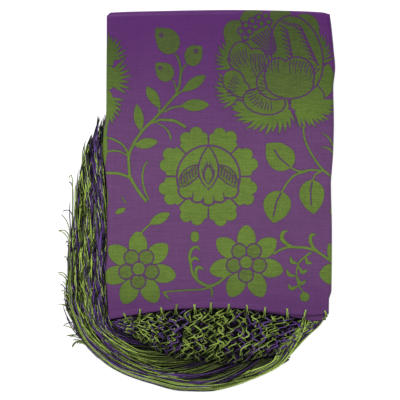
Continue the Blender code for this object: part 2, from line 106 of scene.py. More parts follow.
LOOPS = [  # x, slant of the cord in degrees, reach in over the cloth
    (-55.7, 24.0, 2.7), (-42.9, -6.0, 3.6), (-27.1, 10.0, 2.7), (-14.7, -12.0, 3.6),
    (-1.2, 6.0, 2.9), (11.6, -4.0, 4.0), (25.5, -8.0, 3.0), (39.2, 4.0, 3.2),
    (53.4, -5.0, 3.0), (70.4, 3.0, 4.0), (84.8, -14.0, 4.3), (99.6, 20.0, 2.6),
]
NET_EDGES = [  # upper x, upper y, lower x, lower y
    (-65.0, -93.6, -64.2, -97.3), (-50.3, -90.6, -51.1, -104.9), (-34.1, -88.0, -38.7, -112.6),
    (-17.8, -86.0, -25.5, -119.6), (-1.5, -84.9, -11.6, -123.8), (14.7, -84.7, 5.4, -125.4),
    (31.0, -85.2, 20.1, -126.9), (48.0, -87.4, 34.8, -126.2), (65.8, -90.6, 47.2, -123.1),
    (83.6, -93.8, 60.4, -120.7), (99.8, -94.6, 73.5, -119.2),
]
BAND = [  # inner x, inner y, outer x, outer y
    (73.5, -121.9, 75.9, -122.7), (60.0, -123.1, 67.3, -128.9), (47.1, -125.4, 48.8, -137.0),
    (35.2, -128.6, 29.4, -144.6), (20.1, -129.4, 7.7, -148.9), (5.4, -127.9, -12.4, -148.4),
    (-13.2, -126.3, -34.1, -143.0), (-27.6, -121.8, -49.5, -138.2), (-41.0, -114.8, -64.2, -131.6),
    (-52.6, -107.2, -77.4, -121.5), (-62.5, -101.0, -89.0, -108.0), (-69.7, -92.9, -95.2, -93.7),
    (-71.2, -80.5, -100.2, -77.4), (-72.0, -65.8, -100.6, -58.1), (-71.8, -48.0, -100.2, -38.7),
    (-71.2, -31.0, -99.5, -19.4), (-71.2, -13.9, -99.1, 0.0), (-71.7, 3.1, -99.1, 17.0),
    (-72.9, 19.4, -99.1, 31.0), (-74.0, 34.8, -99.1, 44.1), (-73.5, 50.3, -99.1, 54.2),
    (-71.5, 68.1, -99.1, 68.1),
]
REACH = [  # place across the band, furthest station that its strands reach
    (0.0, 20.8), (0.08, 20.6), (0.14, 19.9), (0.3, 19.6), (0.44, 19.0), (0.61, 18.2),
    (0.72, 17.2), (0.85, 15.6), (0.93, 13.4), (1.0, 11.0),
]
STRAY_TIPS = [  # x, y, z of the tip, height over the floor in millimetres
    (-106.0, -65.0, 3.5), (-105.3, -71.2, 3.0), (-102.9, -77.4, 2.5), (-107.6, -81.3, 3.0),
    (-101.4, -85.9, 3.5), (-103.7, -97.5, 3.5), (-100.6, -105.3, 3.0), (-96.0, -109.1, 2.5),
    (-91.3, -112.2, 3.0), (-96.0, -115.3, 4.0), (-108.1, -56.5, 3.5), (-107.4, -24.0, 3.0),
    (-104.5, -9.3, 3.5), (-103.0, -45.0, 3.0), (-101.5, -34.0, 3.0), (-99.5, 14.0, 3.0),
]


class Cord(Enum):
    """Colour of a fringe cord."""

    GREEN = "green"
    PURPLE = "purple"


def spline(rows: Sequence[Sequence[float]], at: np.ndarray) -> np.ndarray:
    """Smooth values of a table's columns at values of its first column.

    Each cell is a cubic that keeps the rows' values and takes as slope the harmonic mean of the
    straight slopes on both sides, so nothing overshoots.

    Args:
        rows: table with a rising first column.
        at: values of the first column.

    Returns:
        One row for each value, without the first column.
    """
    table = np.asarray(rows, float)
    knots = table[:, 0]
    values = table[:, 1:]
    secants = np.diff(values, axis=0) / np.diff(knots)[:, None]
    before, after = secants[:-1], secants[1:]
    even = before * after > 0
    middle = np.where(even, 2 * before * after / np.where(even, before + after, 1.0), 0.0)
    slopes = np.vstack([secants[:1], middle, secants[-1:]])
    at = np.clip(np.asarray(at, float), knots[0], knots[-1])
    cell = np.clip(np.searchsorted(knots, at, side="right") - 1, 0, len(knots) - 2)
    span = (knots[cell + 1] - knots[cell])[..., None]
    part = (at[..., None] - knots[cell][..., None]) / span
    return (
        (2 * part**3 - 3 * part**2 + 1) * values[cell]
        + (part**3 - 2 * part**2 + part) * span * slopes[cell]
        + (3 * part**2 - 2 * part**3) * values[cell + 1]
        + (part**3 - part**2) * span * slopes[cell + 1]
    )


def along(rows: Sequence[Sequence[float]], stations: np.ndarray) -> np.ndarray:
    """Values of a table with no key column at whole or broken row numbers."""
    return spline([(index, *row) for index, row in enumerate(rows)], stations)


def single(rows: Sequence[Sequence[float]], at: np.ndarray) -> np.ndarray:
    """Second column of a two-column table, smoothed, at values of the first."""
    return spline(rows, at)[..., 0]


def smoothstep(low: float, high: float, value: np.ndarray) -> np.ndarray:
    """Smooth rise from 0 at low to 1 at high."""
    part = np.clip((value - low) / (high - low), 0.0, 1.0)
    return part * part * (3.0 - 2.0 * part)


def pack_height(x: np.ndarray, y: np.ndarray) -> np.ndarray:
    """Height of the pack's upper side without creases: a flat slab with a slightly fuller middle."""
    across = np.clip((x - PACK_MIDDLE[0]) / PACK_HALF[0], -1, 1)
    deep = np.clip((y - PACK_MIDDLE[1]) / PACK_HALF[1], -1, 1)
    return PACK_TOP + 0.9 * (1 - across**2) * (1 - deep**2)


def crease_height(x: np.ndarray, y: np.ndarray) -> np.ndarray:
    """Rise of the creases: a bell across each crease's line, fading out at its two ends."""
    rise = np.zeros_like(x)
    for x0, y0, x1, y1, width, height in CREASES:
        run = np.array([x1 - x0, y1 - y0])
        part = np.clip(((x - x0) * run[0] + (y - y0) * run[1]) / (run @ run), 0, 1)
        away = np.hypot(x - x0 - part * run[0], y - y0 - part * run[1])
        rise += height * np.exp(-((away / width) ** 2)) * np.sin(np.pi * (0.1 + 0.8 * part))
    return rise


def graded(start: float, end: float, count: int) -> np.ndarray:
    """Places from start to end, closer together past the middle, where the motifs are finest."""
    share = np.linspace(0.0, 1.0, 400)
    filled = np.cumsum(1.0 + 0.32 * smoothstep(0.38, 0.62, share))
    filled = (filled - filled[0]) / (filled[-1] - filled[0])
    return start + (end - start) * np.interp(np.linspace(0.0, 1.0, count), filled, share)


def between(rows: np.ndarray, share: np.ndarray) -> tuple[np.ndarray, np.ndarray]:
    """Point at a share of the way from the first to the second point of each row."""
    x = rows[..., 0] + (rows[..., 2] - rows[..., 0]) * share
    y = rows[..., 1] + (rows[..., 3] - rows[..., 1]) * share
    return x, y


def settle(piece: bpy.types.Object, nodes: Sequence[str]) -> None:
    """Lets a piece ride on the body in place of its solids, and reports it."""
    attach(piece, BODY)
    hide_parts(*nodes)
    LOG.info("%s: %d faces", piece.name, len(piece.data.polygons))


def mesh_piece(
    name: str,
    points: np.ndarray,
    faces: np.ndarray,
    material: bpy.types.Material,
    values: dict[str, np.ndarray] | None = None,
) -> bpy.types.Object:
    """Smooth-shaded object from points in millimetres and quads.

    Args:
        name: the piece's name.
        points: points in the tables' millimetres, one row each.
        faces: four point numbers a row.
        material: its finish.
        values: named numbers for each point, kept as attributes that the finish reads.

    Returns:
        The object, at the origin.
    """
    mesh = bpy.data.meshes.new(name)
    count = len(faces)
    mesh.vertices.add(len(points))
    mesh.loops.add(count * 4)
    mesh.polygons.add(count)
    mesh.vertices.foreach_set("co", ((points - ORIGIN) * MM).astype(np.float32).ravel())
    mesh.loops.foreach_set("vertex_index", faces.astype(np.int32).ravel())
    mesh.polygons.foreach_set("loop_start", np.arange(0, count * 4, 4, dtype=np.int32))
    mesh.polygons.foreach_set("loop_total", np.full(count, 4, dtype=np.int32))
    mesh.polygons.foreach_set("use_smooth", np.ones(count, dtype=bool))
    for key, numbers in (values or {}).items():
        layer = mesh.attributes.new(key, "FLOAT", "POINT")
        layer.data.foreach_set("value", np.asarray(numbers, np.float32).ravel())
    mesh.update(calc_edges=True)
    mesh.validate()
    mesh.materials.append(material)
    made = bpy.data.objects.new(name, mesh)
    bpy.context.collection.objects.link(made)
    return made


def grid_faces(rows: int, columns: int, wrap: bool = False) -> np.ndarray:
    """Quads of a grid of points stored row by row, closed along each row if wrap is set."""
    last = columns if wrap else columns - 1
    row, column = np.meshgrid(np.arange(rows - 1), np.arange(last), indexing="ij")
    after = (column + 1) % columns
    quads = [row * columns + column, row * columns + after,
             (row + 1) * columns + after, (row + 1) * columns + column]
    return np.stack([quad.ravel() for quad in quads], axis=1)


def tubes(paths: np.ndarray, radii: np.ndarray, sides: int) -> tuple[np.ndarray, np.ndarray]:
    """Round tubes along many paths of equal count, closed to a point at both ends.

    A ring stands square to the path's run at each station. Its two directions are the level one
    to the run's right and the one square to both.

    Args:
        paths: cords by stations by three, in millimetres.
        radii: cords by stations.
        sides: corners of each ring.

    Returns:
        Points and quads of all tubes.
    """
    run = np.gradient(paths, axis=1)
    run /= np.maximum(np.linalg.norm(run, axis=2, keepdims=True), 1e-9)
    right = np.cross(run, np.array([0.0, 0.0, 1.0]))
    right /= np.maximum(np.linalg.norm(right, axis=2, keepdims=True), 1e-6)
    over = np.cross(right, run)
    turn = np.linspace(0.0, 2 * np.pi, sides, endpoint=False)
    size = radii.copy()
    size[:, 0] = 0.02
    size[:, -1] = 0.02
    ring = (right[:, :, None] * np.cos(turn)[:, None] + over[:, :, None] * np.sin(turn)[:, None])
    points = paths[:, :, None] + ring * size[:, :, None, None]
    cords, stations = paths.shape[:2]
    one = grid_faces(stations, sides, wrap=True)
    faces = one[None] + (np.arange(cords) * stations * sides)[:, None, None]
    return points.reshape(-1, 3), faces.reshape(-1, 4)


# The weaver's chart


@dataclass(frozen=True)
class Shape:
    """A flat figure: its box on the chart and its depth, above 0 inside and below 0 outside."""

    box: tuple[float, float, float, float]
    depth: Callable[[np.ndarray, np.ndarray], np.ndarray]


def ellipse(cx: float, cy: float, rx: float, ry: float, turn: float = 0.0) -> Shape:
    """Ellipse: depth from the ratio of its equation to the length of its slope."""
    cos, sin = math.cos(math.radians(turn)), math.sin(math.radians(turn))
    far = max(rx, ry)

    def depth(x: np.ndarray, y: np.ndarray) -> np.ndarray:
        """Depth at each point."""
        u = ((x - cx) * cos + (y - cy) * sin) / rx
        v = (-(x - cx) * sin + (y - cy) * cos) / ry
        level = np.hypot(u, v) + 1e-3
        slope = np.hypot(u / rx, v / ry) + 1e-3 / min(rx, ry)
        return -level * (level - 1) / slope

    return Shape((cx - far, cy - far, cx + far, cy + far), depth)


def leaf(base: Point, tip: Point, width: float,
         fullest: float = 0.45, blunt: float = 0.8, curl: float = 0.0) -> Shape:
    """Leaf or petal: its half width is a power of a sine of the place along its bent midrib."""
    run = np.subtract(tip, base)
    length = float(np.hypot(*run))
    run = run / length
    power = math.log(0.5) / math.log(fullest)
    box = (min(base[0], tip[0]) - width, min(base[1], tip[1]) - width,
           max(base[0], tip[0]) + width, max(base[1], tip[1]) + width)

    def depth(x: np.ndarray, y: np.ndarray) -> np.ndarray:
        """Half width less the distance from the midrib."""
        u = ((x - base[0]) * run[0] + (y - base[1]) * run[1]) / length
        v = (x - base[0]) * run[1] - (y - base[1]) * run[0]
        inside = np.clip(u, 0, 1)
        v = v - curl * np.sin(np.pi * inside)
        half = width / 2 * np.sin(np.pi * inside**power) ** blunt
        beyond = np.abs(u - inside) * length
        return np.where(beyond > 0, -np.hypot(beyond, v), (half - np.abs(v)) * 0.9)

    return Shape(box, depth)


def stroke(points: Sequence[Point], start: float, end: float, belly: float = 0.0) -> Shape:
    """Stem or line through the points as a smooth curve.

    Its width changes evenly from start to end, plus a half sine of the given belly between.
    """
    spots = np.asarray(points, float)
    dense = along(spots, np.linspace(0, len(spots) - 1, 7 * (len(spots) - 1) + 1))
    if len(spots) == 2:
        dense = spots
    wide = max(start, end) + belly
    low, high = spots.min(axis=0) - wide, spots.max(axis=0) + wide

    def depth(x: np.ndarray, y: np.ndarray) -> np.ndarray:
        """Greatest of half width less distance over the curve's short chords."""
        best = np.full(x.shape, -99.0)
        count = len(dense) - 1
        for index in range(count):
            a, b = dense[index], dense[index + 1]
            run = b - a
            part = np.clip(((x - a[0]) * run[0] + (y - a[1]) * run[1]) / max(run @ run, 1e-9), 0, 1)
            away = np.hypot(x - a[0] - part * run[0], y - a[1] - part * run[1])
            place = (index + part) / count
            half = (start + (end - start) * place + belly * np.sin(np.pi * place)) / 2
            best = np.maximum(best, half - away)
        return best

    return Shape((low[0], low[1], high[0], high[1]), depth)


def off(middle: Point, degrees: float, reach: float) -> Point:
    """Point at a distance from a middle, in degrees from up, clockwise."""
    turn = math.radians(degrees)
    return middle[0] + math.sin(turn) * reach, middle[1] - math.cos(turn) * reach


def join(*shapes: Shape) -> Shape:
    """Figures as one."""
    boxes = np.array([shape.box for shape in shapes])
    low, high = boxes[:, :2].min(axis=0), boxes[:, 2:].max(axis=0)

    def depth(x: np.ndarray, y: np.ndarray) -> np.ndarray:
        """Greatest depth of all."""
        return np.max([shape.depth(x, y) for shape in shapes], axis=0)

    return Shape((low[0], low[1], high[0], high[1]), depth)


def ovals(*rows: Sequence[float]) -> Shape:
    """Ellipses as one figure."""
    return join(*[ellipse(*row) for row in rows])


class WovenFlowers:
    """Depth into the green motifs at each point of the cloth, drawn back to front."""

    def __init__(self, x: np.ndarray, y: np.ndarray) -> None:
        """Takes the points' places on the flat cloth, in millimetres."""
        self.x = x / CHART_SQUARE + CHART_ZERO[0]
        self.y = CHART_ZERO[1] - y / CHART_SQUARE
        self.depth = np.full(x.shape, GROUND)
        self.tone = np.zeros(x.shape)

    def near(self, shape: Shape) -> np.ndarray:
        """Points in a figure's box and a little round it."""
        x0, y0, x1, y1 = np.add(shape.box, (-4.0, -4.0, 4.0, 4.0))
        return (self.x > x0) & (self.x < x1) & (self.y > y0) & (self.y < y1)

    def put(self, shape: Shape, gap: float = 0.0, tone: float = 0.0) -> None:
        """Adds a green figure.

        Args:
            shape: the figure.
            gap: width of the line of ground that parts it from what lies behind.
            tone: how far its weave mixes with the ground's threads, which darkens it.
        """
        near = self.near(shape)
        depth = shape.depth(self.x[near], self.y[near])
        behind = self.depth[near]
        if gap:
            behind = np.minimum(behind, -(depth + gap))
        self.depth[near] = np.maximum(behind, depth)
        self.tone[near] = np.where(depth > 0, tone, self.tone[near])

    def cut(self, shape: Shape) -> None:
        """Shows the ground through the green over a figure."""
        near = self.near(shape)
        depth = shape.depth(self.x[near], self.y[near])
        self.depth[near] = np.minimum(self.depth[near], -depth)

    def stems(self, rows: Sequence[tuple]) -> None:
        """Green curves from rows of points, width at both ends and fullness in the middle."""
        for points, *widths in rows:
            self.put(stroke(points, *widths))

    def slits(self, rows: Sequence[tuple]) -> None:
        """Curved lines of ground from rows of points, width at both ends and fullness."""
        for points, *widths in rows:
            self.cut(stroke(points, *widths))

    def ticks(self, rows: Sequence[Sequence[float]]) -> None:
        """Rows of short lines of ground, each line shifted evenly from the one before.

        Args:
            rows: count, first point, shift, the line's two further points as seen from its
                first one, width at both ends, fullness.
        """
        for count, x0, y0, dx, dy, ax, ay, bx, by, *widths in rows:
            for index in range(count):
                x, y = x0 + dx * index, y0 + dy * index
                self.cut(stroke([(x, y), (x + ax, y + ay), (x + bx, y + by)], *widths))

    def hatch(self, focus: Point, angles: Point, count: int, reach: Point, width: float) -> None:
        """Short tapered lines of ground that fan out from a focus, long and short in turn.

        Args:
            focus: the point they run from.
            angles: first and last direction in degrees, counted from up, clockwise.
            count: how many there are.
            reach: nearest and furthest distance from the focus.
            width: width at the far end.
        """
        for index in range(count):
            angle = angles[0] + (angles[1] - angles[0]) * index / max(count - 1, 1)
            start = reach[0] + (reach[1] - reach[0]) * (0.3 if index % 2 else 0.0)
            middle = off(focus, angle, (start + reach[1]) / 2)
            middle = off(middle, angle - 90, 0.06 * (reach[1] - start))
            line = [off(focus, angle, start), middle, off(focus, angle, reach[1])]
            self.cut(stroke(line, 0.5, width, 0.2))

    def plumes(self, rows: Sequence[Sequence[float]], gap: float) -> None:
        """Feathered outer petals: an oval with slim bent spikes round part of its rim.

        Args:
            rows: middle x, y, radii, first and last angle of the spikes in degrees from up,
                clockwise, their count, length, lean along the rim, and width.
            gap: line of ground round each petal.
        """
        for cx, cy, rx, ry, first, last, count, length, lean, width in rows:
            parts = [ellipse(cx, cy, rx, ry)]
            middle, size = np.array([cx, cy]), np.array([rx, ry])
            for index in range(count):
                turn = math.radians(first + (last - first) * index / (count - 1))
                way = np.array([math.sin(turn), -math.cos(turn)])
                side = np.array([math.cos(turn), math.sin(turn)])
                far = length * (0.92 + 0.08 * math.cos(2.4 * index))
                root = middle + way * (size - 5.0)
                tip = middle + way * (size + far) + side * lean
                parts.append(leaf(root, tip, width, 0.36, 0.85, 0.36 * lean))
            self.put(join(*parts), gap)

    def sprig(self) -> None:
        """The long stem with its buds and leaves at the left."""
        self.stems([  # points, width at both ends, fullness
            ([(174.3, 52), (178.5, 60), (180.8, 70), (180, 82), (176.5, 93.5), (168.5, 103.5), (157, 116.5),
              (143.5, 130), (133.3, 145), (128.8, 158), (129.6, 174), (135.8, 187),
              (146, 201)], 1.8, 2.9, 0.3),
            ([(188, 63), (184, 67.5), (181, 75)], 1.5, 1.6),
            ([(170.5, 78), (174.8, 84), (176.6, 92)], 1.5, 1.7),
            ([(176.5, 96), (180, 92.5), (184, 90.5)], 1.8, 1.6),
            ([(164, 112.5), (173, 107.8), (185, 105.8)], 1.6, 1.8, 0.3),
            ([(159, 115), (159.4, 110), (159.8, 105)], 1.6, 1.6),
            ([(140.5, 134), (140.5, 129), (140, 125)], 1.6, 1.6),
            ([(152, 123.5), (161.5, 120), (172, 120.6), (182, 125), (190, 131)], 1.6, 2.6, 0.8),
            ([(156, 122.5), (165, 128), (169, 133), (171, 139)], 1.3, 1.9, 0.2),
            ([(148.5, 199), (144.2, 188), (142.5, 177), (144.2, 167), (147.8, 161.5)], 1.7, 1.3, 0.4),
            ([(129, 156), (125, 147.5), (116.5, 140.8), (104, 136.5)], 2.2, 1.9),
            ([(127.5, 156), (121.5, 152.3), (115, 150.8), (106, 151.8)], 1.5, 2.1),
            ([(132, 179), (123.5, 175), (115, 173.2), (104, 173)], 2.4, 2.7),
            ([(121.5, 196.5), (126, 203)], 1.2, 1.6),
        ])
        leaves = [  # base x, y, tip x, y, width, fullest
            (182, 92, 205.4, 76.0, 10.6, 0.55), (160.5, 108.5, 147, 87, 10.4, 0.55),
            (181.5, 106, 209.3, 105, 12.0, 0.48), (140.6, 129.5, 137, 104.5, 9.8, 0.45),
            (134.8, 145.5, 158, 141.6, 10.4, 0.5),
        ]
        for bx, by, tx, ty, width, fullest in leaves:
            self.put(leaf((bx, by), (tx, ty), width, fullest, 0.68), 0.0, 0.1)
        buds = [  # middle x, y, radii, turn, corner x, y, hole x, y
            (168.2, 41.8, 11.6, 13.0, -18, 155.8, 28.4, 161.4, 35.6),
            (193.4, 56, 8.7, 10.6, 12, 201.8, 46.6, 195.8, 51.3),
            (165.2, 72.5, 8.9, 9.6, -20, 155.8, 63.0, 160.5, 68.3),
        ]
        for cx, cy, rx, ry, turn, kx, ky, hx, hy in buds:
            corner = leaf((cx, cy), (kx, ky), rx * 1.5, 0.35, 0.8)
            self.put(join(ellipse(cx, cy, rx, ry, turn), corner), 0.9, 0.45)
            self.cut(ellipse(hx, hy, 2.2, 2.2))
            self.put(ellipse(hx, hy, 0.9, 0.9))

    def half_flower(self) -> None:
        """The feathered flower that the left fold cuts in half, and what runs over that fold."""
        self.plumes([
            (106.5, 60, 7.5, 13, 12, 86, 7, 15.5, -3, 3.2),
            (104.5, 102, 9, 14, 80, 160, 7, 12, 4, 3.0),
            (108, 78, 9, 12, 48, 130, 7, 17, -1.5, 3.3),
        ], 0.9)
        self.stems([
            ([(101, 134), (102.5, 148), (101, 162)], 11.0, 10.0),
            ([(106.3, 100), (106.9, 115), (105.8, 134)], 1.8, 3.0),
            ([(106.6, 189), (107.3, 198), (106.8, 207)], 1.2, 1.2, 0.9),
        ])

    def peony(self) -> None:
        """The large flower at the far right corner, which runs over the right fold."""
        self.put(ellipse(321, 80, 13, 19))
        self.plumes([
            (311, 63, 10.5, 22, 24, 88, 9, 14.0, -5, 3.1),
            (305, 98, 18.5, 15, 102, 205, 13, 17.0, -6, 3.9),
            (268, 102, 22, 15, 124, 262, 15, 18.5, 8, 4.8),
            (243, 88, 13, 12, 214, 292, 9, 17.5, 6, 3.4),
            (243, 60, 13, 13.5, 242, 326, 10, 17.0, 6, 3.4),
        ], 1.1)
        self.slits([([(287.5, 98), (290.5, 109), (296.5, 124)], 1.9, 1.5)])
        self.put(ovals((234.8, 33, 11.5, 12.5), (253, 22.5, 13.5, 14), (280, 22, 13.5, 14),
                       (304.5, 29, 14.5, 15), (258, 40, 28, 18), (288, 45, 24, 24)), 0.0, 0.35)
        self.slits([
            ([(241, 21), (242.5, 27), (247, 31)], 1.5, 0.6),
            ([(267, 14), (267.5, 20), (270, 27)], 1.5, 0.6),
            ([(292.5, 15), (291.5, 20), (294, 25)], 1.5, 0.6),
        ])
        self.put(ellipse(296.5, 54.5, 24.5, 38.5, -15), 1.4, 0.2)
        self.ticks([
            (8, 279.5, 26, 0.9, 4.4, 5, 2.6, 8.5, 7.0, 0.9, 1.3, 0.2),
            (9, 293.5, 24, 1.9, 4.3, 5.5, 2.4, 9.5, 7.2, 0.9, 1.4, 0.2),
            (5, 281, 19.6, 3.1, 0.9, 0.6, 2.4, 2.4, 4.6, 0.9, 1.1),
        ])
        for index in range(8):
            stamen = [(251.0 + 2.65 * index, 39.0 - 1.65 * index), (262.5 + 1.6 * index, 48.5 - 1.5 * index),
                      (271.0 + 0.8 * index, 57.0 - 1.0 * index)]
            self.cut(stroke(stamen, 1.35, 0.9))
        spots = [(240.8, 31.6), (245.9, 25.7), (252.3, 21.3), (258.6, 17.8), (265.9, 16.2),
                 (245.0, 37.8), (249.4, 31.9), (255.2, 27.4), (261.4, 24.1), (268.6, 22.5)]
        for spot in spots:
            self.cut(ellipse(*spot, 4.0, 4.0))
        for spot in spots:
            self.put(ellipse(*spot, 2.35, 2.35))
        self.put(ovals((240.5, 57.5, 11, 14.8, 8), (257, 62.5, 11, 13.5, -16), (250, 72, 14.5, 21, -38)),
                 1.3, 0.35)
        self.hatch((259, 100), (-38, -15), 8, (34.0, 52.5), 0.95)
        self.hatch((257, 96), (-9, 14), 7, (26.0, 42.0), 0.95)
        self.put(ovals((233.5, 81.5, 10, 11.5, -30), (239, 88.5, 10.5, 8, 25)), 1.3, 0.25)
        self.hatch((249, 93), (-98, -40), 8, (11.0, 22.5), 0.9)
        self.put(ellipse(264, 101.8, 20.5, 12.3, 10), 1.3, 0.25)
        self.hatch((268, 88), (172, 262), 11, (12.0, 22.0), 0.95)
        self.put(ellipse(274.5, 84, 17.5, 15, 15), 1.3, 0.2)
        self.hatch((292, 95), (-88, -52), 7, (24.0, 34.0), 0.95)
        self.put(ovals((277, 75, 11.8, 16, 8), (297, 75, 16.3, 17, -8), (289.5, 84, 23, 14.2)), 1.4, 0.4)
        self.hatch((280, 112), (-33, -2), 9, (38.0, 51.5), 0.95)
        self.hatch((291, 112), (-1, 33), 10, (38.0, 51.5), 0.95)
        self.slits([([(323.5, 66), (328, 63.5), (336, 63)], 1.4, 1.4)])

    def medallion(self) -> None:
        """The scalloped flower in the middle of the cloth, with its domed heart."""
        heart = cx, cy = 208.4, 176.5
        lobes = [  # degrees from the petal's middle, reach, radius
            (-15.5, 37.6, 5.4), (-7.6, 43.6, 6.5), (-0.4, 40.5, 5.6), (6.8, 44.6, 6.6), (15.5, 38.6, 5.4),
        ]
        petals = [(*off(heart, 45 * index + 22.5 + offset, reach), size, size)
                  for index in range(8) for offset, reach, size in lobes]
        self.put(ovals((cx, cy, 39.5, 39.5), *petals))
        for first, near, far, *widths in ((22.0, 46.5, 53, 0.5, 4.0), (0.0, 29, 50, 0.8, 3.0)):
            for angle in np.arange(8) * 45 + first:
                self.cut(stroke([off(heart, angle, near), off(heart, angle, far)], *widths))
        dome = ellipse(cx, cy + 0.5, 30.6, 30.6)

        def upper(x: np.ndarray, y: np.ndarray) -> np.ndarray:
            """The dome down to the line where its scalloped rim starts."""
            return np.minimum(dome.depth(x, y), 187.0 - y)

        rim = ovals((cx - 21.8, 190.4, 7.2, 7.4), (cx - 11, 194.6, 7, 7), (cx, 197.4, 7, 7),
                    (cx + 11, 194.6, 7, 7), (cx + 21.8, 190.4, 7.2, 7.4), (cx, 187, 26, 9))
        self.put(join(Shape(dome.box, upper), rim), 1.8)
        for x, low in ((-16.2, 199), (-5.4, 203), (5.4, 203), (16.2, 199)):
            self.cut(stroke([(cx + x, low), (cx + x * 0.96, low - 3), (cx + x * 0.9, low - 6.5)], 1.8, 0.7))
        for side in (-1, 1):
            line = [(cx + side * 7, 173), (cx + side * 16, 177.5), (cx + side * 30, 186.5)]
            self.cut(stroke(line, 1.6, 1.6))
            wing = leaf((cx + side * 6.5, 166.0), (cx + side * 28.8, 186.2), 12.5, 0.5, 0.6, side * 1.5)
            self.put(wing, 1.1, 0.75)
            self.ticks([(7, cx + side * 9.5, 163.3, side * 2.75, 2.0,
                         side * 1.2, 4.2, side * 0.2, 9.4, 0.9, 1.35)])
        self.put(leaf((cx, 188.5), (cx, 147.0), 18.5, 0.46, 0.85), 1.4, 0.1)
        for side in (-1, 1):
            self.ticks([(4, cx + side * 6.2, 169.5, side * -1.5, -2.7,
                         side * -0.5, 4.4, side * -1.8, 8.6, 0.8, 1.2)])
        self.put(leaf((cx, 183.5), (cx, 166.5), 7.6, 0.5, 0.8), 1.3, 0.4)

    def round_leaves(self) -> None:
        """Three round leaves with slits on the branching stem at the right."""
        self.stems([
            ([(302.8, 127), (304, 137), (307.5, 147), (315, 160), (323, 170),
              (330, 175.5), (340, 181)], 1.7, 2.4),
            ([(322, 171), (312, 170), (300, 171.5), (290, 167.5)], 2.0, 1.8),
            ([(306, 171.4), (295, 175), (287, 183), (281, 193)], 2.1, 1.8),
            ([(321, 171), (315, 175), (312, 181)], 1.9, 1.6),
            ([(322, 133), (328.5, 138), (333, 146)], 1.0, 2.2),
            ([(321.5, 147), (328, 148.4), (334, 154)], 1.0, 2.4),
        ])
        leaves = [  # middle x, y, radii, tip x, y, slit
            (281, 158, 14, 13.2, 266.2, 143.8, [(274.3, 150.3), (279, 157.5), (289, 166.5)]),
            (277, 204.5, 13.8, 13.6, 273.4, 223.2, [(280.5, 193.5), (276, 203), (273.2, 216.5)]),
            (311.5, 194, 12.6, 13.8, 313.8, 214.0, [(311.8, 182.5), (310.4, 192), (311.0, 205)]),
        ]
        for cx, cy, rx, ry, tx, ty, slit in leaves:
            self.put(join(ellipse(cx, cy, rx, ry), leaf((cx, cy), (tx, ty), rx * 1.7, 0.32, 0.85)), 0.0, 0.15)
            self.cut(stroke(slit, 1.7, 1.3))
        self.put(ellipse(335, 211, 5.0, 5.4))

    def star(self, cx: float, cy: float, turn: float = 0.0) -> None:
        """Seven-petalled star flower with six discs in its middle."""
        for angle in turn + 360 / 7 * np.arange(7):
            self.put(leaf(off((cx, cy), angle, 6), off((cx, cy), angle, 37.6), 18.6, 0.56, 0.58), 0.9)
        for dx, dy in ((-7.2, -11.6), (7.4, -11.6), (12.6, 2.6), (-0.5, 12.3), (-12.6, 2.6)):
            self.put(ellipse(cx + dx, cy + dy, 6.7, 6.7), 1.4, 0.55)
        self.put(ellipse(cx - 0.2, cy - 0.4, 6.1, 6.1), 1.4, 0.15)

    def scrolls(self) -> None:
        """Hooked scroll stems between the flowers along the hem."""
        self.stems([
            ([(273.5, 253.8), (280.3, 249.6), (289.5, 247), (302.5, 247.3), (313.6, 250),
              (323, 255.5), (334, 264)], 1.8, 2.4, 0.4),
            ([(293, 246.4), (286, 243.4), (281.6, 237.8), (282.6, 232.6), (287.4, 230.6)], 1.2, 1.2, 3.0),
            ([(319, 252), (313, 247), (310, 240), (311.6, 234.4), (315.8, 234.6)], 1.2, 1.2, 2.4),
            ([(310.5, 252.5), (303, 258), (298, 264), (296.2, 273), (298, 284), (303, 292)], 1.9, 1.5),
            ([(297, 263.4), (291.5, 261.6), (290.2, 256.6)], 1.4, 1.0, 2.4),
            ([(294.8, 276), (288.8, 274.4), (286.4, 269.4)], 1.4, 1.0, 2.4),
            ([(297.6, 286), (291.4, 288.4), (287.8, 284)], 1.4, 1.0, 2.4),
            ([(305.4, 256.4), (307.2, 262.4), (312, 263)], 1.4, 1.0, 2.4),
            ([(298.4, 266.4), (302.6, 272.2), (307.2, 269.4)], 1.4, 1.0, 2.4),
            ([(297, 277.4), (301, 283.4), (305.6, 280.4)], 1.4, 1.0, 2.4),
            ([(190.4, 262), (192.4, 272.9), (198.9, 281.2), (209, 285.9),
              (217.4, 283), (225.5, 277)], 2.2, 2.2, 0.8),
            ([(190.4, 263), (189.4, 257.5), (192, 249), (197, 246.6), (199.6, 250.6)], 2.0, 1.2, 1.4),
            ([(190.6, 266), (191.2, 260.6), (195.2, 257.8), (199.6, 261)], 1.2, 1.0, 2.2),
            ([(197.6, 278), (195.8, 271.4), (199, 266.8), (203.8, 269.8)], 1.2, 1.0, 2.2),
            ([(186, 290), (198, 289.4), (206, 288.4), (211.5, 285.5)], 1.6, 1.8),
            ([(209.6, 287), (212, 291), (211.6, 297)], 1.6, 1.1, 0.8),
            ([(163.4, 291.5), (166, 295), (170, 299.5)], 1.6, 1.0, 1.0),
            ([(163.4, 292), (172, 291), (186, 290)], 1.6, 1.6),
        ])
        self.put(ellipse(304.4, 296.6, 4.8, 4.8))
        self.put(ellipse(194.9, 236.6, 4.4, 5.5))
        self.put(leaf((338, 266), (328.6, 243), 12, 0.45, 0.7))
        self.put(leaf((339, 274), (319, 273.6), 21, 0.4, 0.6), 1.0)
        self.put(leaf((126, 208), (115.4, 213.6), 5.5, 0.5, 0.7))
        self.put(leaf((150, 224), (170, 213), 10, 0.5, 0.7))
        self.stems([([(141, 233), (148, 226), (153, 222)], 1.8, 1.6)])

